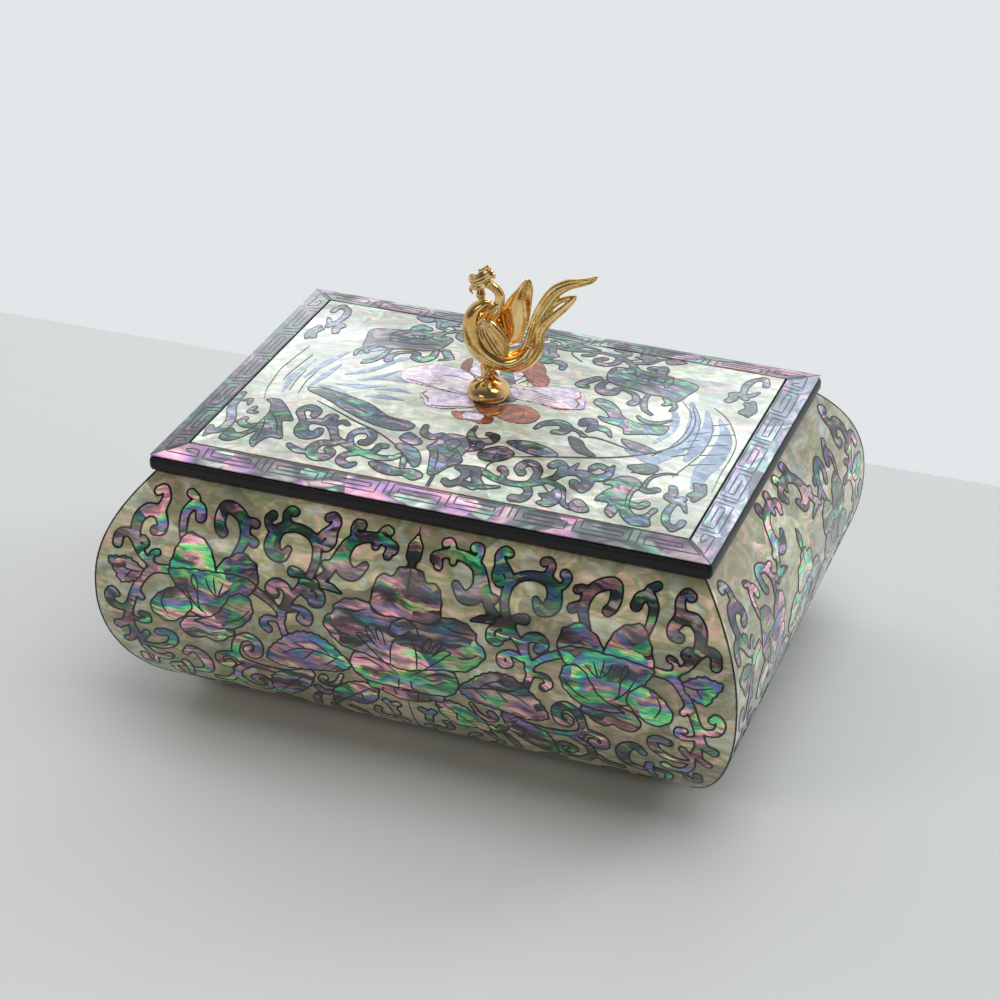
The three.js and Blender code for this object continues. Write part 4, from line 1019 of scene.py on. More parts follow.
FLOWER = (
    (Finish.LAVENDER, (-9, -8, -9.4, -14, -4, -17, 0, -15, 3, -11, 0, -6)),
    (Finish.LID_MOTIF, (-3, -11, -.6, -12.6, 2, -8, 4.4, -3, 5.4, 1.4, 2, 2)),
    (Finish.COPPER, (-.4, -12, 1.6, -18, 3, -21, 4.8, -19.4, 6.8, -16.2, 7.2, -14.4, 9, -12, 9.6, -9,
     8.6, -5.2, 6, -8, 4, -10, 2, -12.4)),
    (Finish.COPPER, (-10, -6.6, -12.4, -10, -12.9, -13.6, -11.7, -16, -10.6, -13, -9.9, -10)),
    (Finish.LAVENDER, (-5.4, 1.4, -8, -6.4, -13, -9.2, -19, -9, -23.6, -5.6, -24, -2, -22.6, .2, -18, 1.2,
     -12, 2, -7, 2.6)),
    (Finish.LAVENDER, (2, -4, 5, -6, 8, -7.2, 11, -8.6, 14.6, -9.5, 17.8, -8.6, 19.6, -6.4, 20.4, -4, 21, -1,
     19, .2, 16, 1.5, 13, 1.4, 10, .6, 5, .4)),
    (Finish.LAVENDER, (-3.4, 3.4, -9, 3.1, -15, 3.4, -16, 6, -14.4, 7.8, -13, 9.9, -10, 10.5, -6, 9.2,
     -2.4, 7)),
    (Finish.COPPER, (3, 5, 5, 3.2, 8.2, 2.6, 11.2, 3.9, 13.2, 6.2, 12.6, 9.2, 10, 10.9, 6.4, 10.9, 3.6, 9.6,
     2.6, 7)),
    (Finish.COPPER, (-3.4, 5, 0, 6, 3.2, 5, 4, 9.2, 1, 9.9, -1.6, 8)),
    (Finish.COPPER, (-6.4, 11.4, -4.6, 10.2, 0, 9.3, 3.2, 10, 3.8, 12.8, 1.6, 14, -1, 13.4, -4.4, 13.5)),
    (Finish.LAVENDER, (-3.6, 10.6, -1.4, 9.8, 1, 10, 1.4, 12.4, -1, 13.2, -3.4, 12.6))
)
COPPER_RIMS = (
    (17.6, -8.2, 18.6, -6, 18, -4.4, 19.2, -2.8, 19.2, -.8), (-15.2, 4, -15.7, 5.6, -14, 7, -13, 9),
    (-22, -.2, -18, .6, -14.6, 1.4), (-12, 10, -8, 9.4, -4, 7.8), (11, .4, 15, 1.1, 18, .4)
)
PETAL_FOLDS = (
    (4, -4, 7, -4.8, 10, -4, 12.2, -2.2), (4.6, -2, 8, -2.4, 11, -1), (3, -7, 4.6, -9.4, 5.2, -7),
    (1.6, -10, 3.2, -11.2, 4.2, -9.6), (-8, -4, -12, -5, -16, -4), (-7.6, -1.4, -12, -2, -16, -1.2),
    (-7, -6, -10, -8, -12.6, -8), (8.4, 4.6, 9.4, 6.8, 9.2, 9)
)


# The walls

AS_DRAWN = (0, 0, 1.0, (0, 0))
WALL_GROUPS = (
    tuple((spray, *AS_DRAWN) for spray in (CROOK, FORK, SPIRAL, OUTER, LOW_LEAVES, BIG_LEAF, PEONY, CENTRE)),
    ((CROOK, -3, -0.4, 0.95, (0, 0)), (LOW_LEAVES, -1, 0, 0.95, (0, 0)), (SPIRAL, -18.5, 0, 1.0, (0, 0)),
     (OUTER, -18.7, 0, 1.0, (0, 0)), (PEONY, -19.5, 2.5, 0.86, (48, 24)), (BIG_LEAF, -2, 1, 0.72, (12, 37)),
     (CENTRE, 0, 6, 0.74, (0, 24))),
)
MIDDLE_LINES = (((0, -0.6), (0, -2.2)), ((0, -44.0), (0, -60.4)))


@dataclass
class BelliedWalls:
    """Four bellied walls covered with cut shell.

    The offset from the rim is 11.2 (1 - ((z - 31.6) / 27) ** 2.4) above the belly line and a quarter ellipse
    below it; v runs up the arc of that section, 0 at the rim and negative below. The drawing counts from a
    line that lies a little above the rim, under the lid.
    """

    half_width: float = 64.1
    half_depth: float = 45.4
    rim: float = 58.6
    foot: float = 2.4
    belly: float = 31.6
    reach: float = 11.2
    power: float = 2.4
    skirt_width: float = 23.8
    skirt_height: float = 31.2
    step: float = 0.26
    under_lid: float = 1.57
    sheet_stride: int = 3
    mitre_gap: float = 0.02
    rim_gap: float = 0.05
    mitre_line: float = 0.28
    shell_gap: float = 0.2
    middle_line: float = 0.22
    names: tuple[str, ...] = ("front", "right", "back", "left")

    def __post_init__(self) -> None:
        """Tabulates the section by arc length."""
        z = np.linspace(self.rim, self.foot, 1500)
        up = self.reach * (1 - np.clip((z - self.belly) / (self.rim - self.belly), 0, 1) ** self.power)
        fall = np.clip((self.belly - z) / self.skirt_height, 0, 1)
        low = self.reach - self.skirt_width * (1 - np.sqrt(1 - fall ** 2))
        self.z, self.out = z, np.where(z >= self.belly, up, low)
        self.arc = np.concatenate([[0], np.cumsum(np.hypot(np.diff(self.out), np.diff(z)))])
        self.length = float(self.arc[-1])

    def offset(self, v: Array) -> Array:
        """Offset from the rim at v."""
        return np.interp(-v, self.arc, self.out)

    def placer(self, side: int) -> Placer:
        """The map from u, v and height to space for one wall, the front turned by quarter turns.

        A height moves the point along the section's normal, and u shrinks with it so that mitres stay shut.
        """
        half, across = ((self.half_width, self.half_depth), (self.half_depth, self.half_width))[side % 2]
        slope_out, slope_z = np.gradient(self.out, self.arc), np.gradient(self.z, self.arc)

        def place(u: Array, v: Array, height: float) -> Array:
            """Points of the wall's face, raised by height."""
            out, z = self.offset(v), np.interp(-v, self.arc, self.z)
            n_out, n_z = -np.interp(-v, self.arc, slope_z), np.interp(-v, self.arc, slope_out)
            x = u * (half + out + n_out * height) / (half + out)
            y, z = -(across + out + n_out * height), z + n_z * height
            for _ in range(side):
                x, y = -y, x
            return np.stack([x, y, z], -1)

        return place

    def drawing(self, side: int) -> Drawing:
        """The pattern of a long wall or of a short one."""
        half = (self.half_width, self.half_depth)[side % 2]
        sheet = Drawing(half + self.reach + 1, self.length, self.step, low=-self.length)
        for spray, right, down, scale, about in WALL_GROUPS[side % 2]:
            spray.draw(sheet, (right, down - self.under_lid), scale, about)
        if side % 2 == 0:
            sheet.fine += [(np.array(line), self.middle_line) for line in MIDDLE_LINES]
        u, v = sheet.grid[..., 0], sheet.grid[..., 1]
        mitre = u - (half + self.offset(v) - self.mitre_gap)
        outside = np.maximum(np.maximum(mitre, v + self.rim_gap), -self.length - v + self.rim_gap)
        sheet.ink = np.maximum(np.minimum(sheet.ink, -self.mitre_line - mitre), outside)
        sheet.solid = np.maximum(sheet.solid, outside + self.shell_gap)
        return sheet

    def build(self) -> None:
        """Adds the cut shell and the black lines of each wall."""
        for kind in (0, 1):
            sheet = self.drawing(kind)
            ink, us = sheet.mirrored(sheet.ink)
            solid, _ = sheet.mirrored(sheet.solid)
            k = self.sheet_stride
            middle = len(us) // 2
            halves = {"left": slice(None, middle + 1), "right": slice(middle, None)}
            lines = {half: cut_out(ink[:, part], us[part], sheet.vs) for half, part in halves.items()}
            shell = cut_out(solid[::k, ::k], us[::k], sheet.vs[::k])
            fine = [(line * (sign, 1), width) for line, width in sheet.fine for sign in (1, -1)
                    if sign > 0 or line[:, 0].max() > 0.1]
            for side in (kind, kind + 2):
                place, name = self.placer(side), self.names[side]
                add_piece(f"inlay_{name}", *closed_sheet(*shell, place, *Layer.WALL_SHELL.value),
                          Finish.WALL_MOTIF, "box", "wall_pearl")
                for half, flat in lines.items():
                    add_piece(f"outline_{name}_{half}", *closed_sheet(*flat, place, *Layer.OUTLINE.value),
                              Finish.INK_LINE, "box", "lacquer")
                add_piece(f"engraving_{name}", *ribbons(fine, place, *Layer.ENGRAVING.value),
                          Finish.INK_LINE, "box", "lacquer")


# The lid

@dataclass(frozen=True)
class Fret:
    """The key fret of one border strip: x runs from the corner, y from the strip's outer edge to the panel.

    A closed key winds right, up, left and down into itself; an open key is its other hand. A single bar
    stands between pairs, and a leaning key fills each corner. A short edge has slightly narrower keys.
    """

    low: float = 1.9
    high: float = 6.0
    inner: float = 3.3
    outer: float = 4.7
    start: float = 11.8
    line: float = 0.36
    corner: tuple[tuple[float, float], ...] = (
        (6.6, 6.3), (2.9, 2.3), (10.4, 2.1), (10.2, 4.5), (8.6, 4.8), (7.0, 4.3), (7.4, 3.5), (8.6, 3.5))

    def bar(self, at: float) -> Path:
        """The single bar between pairs of keys."""
        return [(at, self.low + 0.2), (at, self.high + 0.3)]

    def closed(self, a: float, b: float) -> Path:
        """The key from a to b whose left bar reaches the panel."""
        return [(a, self.high + 0.3), (a, self.low), (b, self.low), (b, self.high), (a + 1.5, self.high),
                (a + 1.5, self.inner), (b - 1.6, self.inner), (b - 1.6, self.outer), (a + 3.6, self.outer)]

    def opened(self, a: float, b: float, c: float) -> Path:
        """The key from a to b whose upper line runs on to the next key at c."""
        return [(c, self.high), (a, self.high), (a, self.low), (b, self.low), (b, self.outer),
                (a + 1.6, self.outer), (a + 1.6, self.inner), (b - 2.2, self.inner)]

    def edge(self, length: float, pairs_of_keys: int, size: float) -> list[Path]:
        """The lines of one strip from corner to corner.

        Args:
            length: length of its outer edge.
            pairs_of_keys: how many pairs follow the first key.
            size: width of the keys against a long edge's.

        Returns:
            The corners of each broken line.
        """
        at = self.start + 14.4 * size
        paths = [list(self.corner), self.closed(self.start, self.start + 12.6 * size)]
        for _ in range(pairs_of_keys):
            following = at + 14.6 * size
            paths += [self.bar(at), self.opened(at + 1.5, at + 12.8 * size, following),
                      self.closed(following, at + 27 * size)]
            at += 28.9 * size
        last = [(length - 6.8, 6.0), (length - 3, 2.3), (at + 1.6, 2.1), (at + 1.6, 4.8),
                (length - 7.6, 4.6), (length - 7.2, 3.5), (at + 3.6, 3.5)]
        return paths + [self.bar(at), last]


@dataclass
class Lid:
    """Inlay of the cushioned lid panel and the fret of its border.

    The panel's height is 64 + 4 (1 - |x / 58.4| ** 2.4) (1 - |y / 39.3| ** 2.4).
    """

    half_width: float = 65.0
    half_depth: float = 45.9
    border: float = 6.6
    arris: float = 63.0
    rise: float = 1.0
    crown: float = 4.0
    power: float = 2.4
    step: float = 0.26
    edge_gap: float = 0.5
    centre: tuple[float, float] = (-1.5, 2.5)
    clearing: tuple[float, float] = (22.0, 14.0)
    clearing_slope: float = 16.0
    line_gap: float = 0.6
    mist_gap: float = 0.2
    mitre_line: float = 0.3

    @property
    def panel_half(self) -> tuple[float, float]:
        """Half the width and half the depth of the panel."""
        return self.half_width - self.border, self.half_depth - self.border

    def panel(self, u: Array, v: Array, height: float) -> Array:
        """Points of the panel, raised by height."""
        bulge, other = (1 - np.clip(np.abs(part) / half, 0, 1) ** self.power
                        for part, half in zip((u, v), self.panel_half))
        return np.stack([u, v, self.arris + self.rise + self.crown * (bulge * other) + height], -1)

    def strip(self, u: Array, v: Array, height: float) -> Array:
        """Points of the sloping border, raised by height."""
        inwards = np.minimum(self.half_width - np.abs(u), self.half_depth - np.abs(v))
        return np.stack([u, v, self.arris + self.rise * inwards / self.border + height], -1)

    def lay(self, name: str, sheet: Drawing, values: Array, layer: Layer, finish: Finish,
            stride: int = 1) -> None:
        """Adds one field of a drawing to the panel as a thin closed sheet.

        Args:
            name: the piece's name.
            sheet: the drawing.
            values: the field to cut.
            layer: heights of its skins.
            finish: its finish.
            stride: how many grid lines make one step of the cut.
        """
        flat = cut_out(values[::stride, ::stride], sheet.us[::stride], sheet.vs[::stride])
        add_piece(name, *closed_sheet(*flat, self.panel, *layer.value), finish, "lid", self.slot(finish))

    def engrave(self, name: str, lines: Lines, layer: Layer, finish: Finish,
                face: Optional[Placer] = None) -> None:
        """Adds fine open lines to the panel, or to another face of the lid.

        Args:
            name: the piece's name.
            lines: (points, width) of each line.
            layer: heights of their top and underside.
            finish: their finish.
            face: maps u, v and height to space; the panel where it is None.
        """
        add_piece(name, *ribbons(lines, face or self.panel, *layer.value), finish, "lid", self.slot(finish))

    @staticmethod
    def slot(finish: Finish) -> str:
        """The record's slot for a finish: black lines are lacquer, all else is shell."""
        return "lacquer" if finish is Finish.INK_LINE else "lid_pearl"

    def flower(self) -> None:
        """Adds the middle flower: petals of copper, lavender and dark shell with fine black edges.

        Each petal takes its outline away from the shells laid before it, value = max(value, -d).
        """
        sheet = Drawing(52, 44, 0.24, low=-18, left=-27, line=0.17)
        shells = {finish: sheet.blank() for finish in (Finish.LAVENDER, Finish.COPPER, Finish.LID_MOTIF)}
        for finish, ring in FLOWER:
            d = sheet.outline(worked(curve(pairs(ring), 8, True), 0.22, 1.5))
            sheet.add(d)
            shells = {key: np.minimum(value, d) if key is finish else np.maximum(value, -d)
                      for key, value in shells.items()}
        for finish, value in shells.items():
            self.lay("flower_" + finish.name.lower(), sheet, value, Layer.PETAL, finish, 2)
        self.lay("flower_outline", sheet, sheet.ink, Layer.PETAL_OUTLINE, Finish.INK_LINE)
        rims, folds = ([(pairs(path), width) for path in paths]
                       for paths, width in ((COPPER_RIMS, 0.5), (PETAL_FOLDS, 0.16)))
        self.engrave("flower_rims", rims, Layer.PETAL_RIM, Finish.COPPER)
        self.engrave("flower_folds", folds, Layer.PETAL_FOLD, Finish.INK_LINE)
        # Pale rays paint a highlight along each fold's ridge; dark copper lines just beside them paint shade
        # in its crease.
        self.engrave("flower_rays", self.rays(0.0, 0.34), Layer.PETAL_RIM, Finish.PALE)
        self.engrave("flower_creases", self.rays(2.5, 0.17), Layer.PETAL_CREASE, Finish.COPPER)

    @staticmethod
    def rays(turn: float, width: float) -> Lines:
        """Lines of folds that fan out over the petals, each bent a little by its own angle.

        Args:
            turn: degrees from the first fold to the first ray.
            width: width of a fold.

        Returns:
            (points, width) of each line.
        """
        lines = []
        for first, last, reach in ((158, 198, 17.5), (-14, 24, 15.5), (28, 66, 9.5), (205, 232, 11.0)):
            for a in np.radians(np.arange(first + turn, last + 0.1, 5.0)):
                r = np.linspace(6.2, reach * (0.86 + 0.14 * np.cos(7 * a)), 5)
                bend = a + 0.07 * np.sin(3 * a) * (r - 6) / 6
                lines.append((np.stack([-1.0 + r * np.cos(bend), 1.5 + 0.62 * r * np.sin(bend)], 1), width))
        return lines

    def fret(self) -> Lines:
        """The lines of the border fret, which is the same in each half turn, and the four mitre lines."""
        lines, keys = [], Fret()
        long_edge = (self.half_width, self.half_depth, False, 3, 1.0)
        short_edge = (self.half_depth, self.half_width, True, 2, 0.965)
        for half, deep, turn, pairs_of_keys, size in (long_edge, short_edge):
            for path in keys.edge(2 * half, pairs_of_keys, size):
                for sign in (1, -1):
                    u, v = ((np.array(path) - (half, deep)) * sign).T
                    flat = np.stack([-v, u] if turn else [u, v], 1)
                    lines += [(flat[i:i + 2], keys.line) for i in range(len(flat) - 1)]
        corner = np.array([(self.half_width, self.half_depth), self.panel_half])
        return lines + [(corner * (su, sv), self.mitre_line) for su in (1, -1) for sv in (1, -1)]

    def scrolls(self) -> Drawing:
        """The vines, leaves, birds and long feathers of the panel.

        The right half carries its own front vine and so does the left; the groups behind them are turned over
        the middle line.
        """
        across, deep = self.panel_half
        sheet = Drawing(2 * across, 2 * deep, self.step, low=-deep, left=-across, line=0.32)
        turned_over = ((BIRD, (0, 0), 1), (VINE, (-0.5, 1.2), -1), (STEM, (0, 0), -1), (BUD, (0, 0), -1))
        for sign in (1, -1):
            for spray, shift, up in turned_over:
                spray.draw(sheet, shift, mirror=(sign, up))
        for spray in (DARK_LEAF, RIGHT_FEATHERS, LEFT_FEATHERS, VINE, NEAR_LEAVES, COLUMN, STEM, LEFT_VINE,
                      LEFT_COLUMN, BUD):
            spray.draw(sheet)
        return sheet

    def build(self) -> None:
        """Adds the panel's inlay, the flower and the fret; the scrolls leave an oval clear for the flower."""
        across, deep = self.panel_half
        sheet = self.scrolls()
        u, v = sheet.grid[..., 0], sheet.grid[..., 1]
        edge = np.maximum(np.abs(u) - across, np.abs(v) - deep) + self.edge_gap
        room = np.maximum(edge, (1 - self.oval(sheet.grid)) * self.clearing_slope)
        self.lay("inlay_lid", sheet, np.maximum(sheet.solid, room), Layer.LID_SHELL, Finish.LID_MOTIF, 3)
        self.lay("outline_lid", sheet, np.maximum(sheet.ink, room), Layer.OUTLINE, Finish.INK_LINE)
        within = (across - self.line_gap, deep - self.line_gap)
        far = [(line, w) for line, w in sheet.fine
               if np.all(self.oval(line) > 1) and np.all(np.abs(line) < within)]
        self.engrave("engraving_lid", far, Layer.ENGRAVING, Finish.INK_LINE)
        mist = Drawing(2 * across, 2 * deep, self.step, low=-deep, left=-across)
        for radii, path in MIST:
            mist.add(mist.stroke(pairs(path), radii))
        clear = np.maximum(np.maximum(mist.solid, self.mist_gap - sheet.solid), edge)
        self.lay("inlay_mist", mist, clear, Layer.MIST, Finish.MIST, 2)
        self.flower()
        self.engrave("fret_lines", self.fret(), Layer.FRET, Finish.INK_LINE, self.strip)

    def oval(self, points: Array) -> Array:
        """Distance from the flower's middle as a share of the clearing's oval."""
        u, v = points[..., 0], points[..., 1]
        return np.hypot((u - self.centre[0]) / self.clearing[0], (v - self.centre[1]) / self.clearing[1])


# The knob

Rows = tuple[tuple[float, float, float, float, float], ...]


@dataclass(frozen=True)
class Form:
    """One swept form of the casting.

    Rows give x, y, z, half width in the bird's own plane and half depth across it. Laid as strands, strand i
    of k has its middle at the share e = (2 i + 1) / k - 1 of the half width, is 1.3 / k of it wide and
    (1 - e ** 2) ** 0.5 of the depth deep.
    """

    rows: Rows
    strands: int = 1
    sides: int = 20
    samples: int = 10
    least: float = 0.08
    overlap: float = 1.3

    def build(self) -> tuple[Array, Array]:
        """Closed tubes with flat ends.

        Returns:
            Points and triangles.
        """
        path = curve(self.rows, self.samples)
        spine, wide, deep = path[:, :3], *np.maximum(path[:, 3:], self.least).T
        along = np.gradient(spine, axis=0)
        along /= np.linalg.norm(along, axis=1, keepdims=True)
        across = np.cross((0.0, 1.0, 0.0), along)
        across /= np.linalg.norm(across, axis=1, keepdims=True)
        depth = np.cross(along, across)
        angle = np.linspace(0, 2 * np.pi, self.sides, endpoint=False)[None, :, None]
        count, sides = len(path), self.sides
        step, side = np.arange(count - 1)[:, None] * sides, np.arange(sides)[None, :]
        ring, nxt = step + side, step + (side + 1) % sides
        fan, last = np.arange(1, sides - 1), (count - 1) * sides
        faces = np.concatenate([halved(ring, nxt, nxt + sides, ring + sides),
                                np.stack([np.zeros_like(fan), fan + 1, fan], 1),
                                np.stack([np.full_like(fan, last), last + fan, last + fan + 1], 1)])
        points = []
        for number in range(self.strands):
            e = (2 * number + 1) / self.strands - 1
            share = 1.0 if self.strands == 1 else self.overlap / self.strands
            w, h = (wide * share)[:, None, None], (deep * np.sqrt(1 - e * e))[:, None, None]
            middle = spine + (wide * e * (1 - share / (2 * self.overlap)))[:, None] * across
            points.append((middle[:, None] + w * np.cos(angle) * across[:, None]
                           + h * np.sin(angle) * depth[:, None]).reshape(-1, 3))
        return joined([(p, faces) for p in points])


@dataclass(frozen=True)
class Blade:
    """A bent leaf of metal: a smooth surface through rows of points, moved both ways along its normal.

    Ribs run along it: the surface is raised by depth * cos(2 pi ribs s) at the share s of the way across.
    """

    rows: tuple[tuple[Point, ...], ...]
    thick: float = 0.32
    ribs: int = 0
    depth: float = 0.14

    def build(self) -> tuple[Array, Array]:
        """A closed leaf.

        Returns:
            Points and triangles.
        """
        rows = np.asarray(self.rows, float)
        tall = curve(rows.reshape(len(rows), -1), 10).reshape(-1, rows.shape[1], 3)
        whole = curve(tall.transpose(1, 0, 2).reshape(rows.shape[1], -1), 14)
        whole = whole.reshape(len(whole), -1, 3)
        normal = unit(np.cross(np.gradient(whole, axis=0), np.gradient(whole, axis=1)))
        across, along = whole.shape[:2]
        if self.ribs:
            rib = self.depth * np.cos(2 * np.pi * self.ribs * np.linspace(0, 1, across))
            whole = whole + normal * rib[:, None, None]

        def place(u: Array, v: Array, height: float) -> Array:
            """Points of the leaf, raised by height."""
            return whole[v, u] + normal[v, u] * height

        flat = np.stack(np.meshgrid(np.arange(along), np.arange(across)), -1).reshape(-1, 2)
        return closed_sheet(flat, grid_faces(across, along), place, self.thick, -self.thick)


def bead(x: float, y: float, z: float, r: float) -> Form:
    """A small ball."""
    up = ((-1.0, 0.1), (-0.8, 0.6), (-0.4, 0.92), (0.0, 1.0), (0.4, 0.92), (0.8, 0.6), (1.0, 0.1))
    return Form(tuple((x, y, z + h * r, w * r, w * r) for h, w in up), samples=3, sides=14)


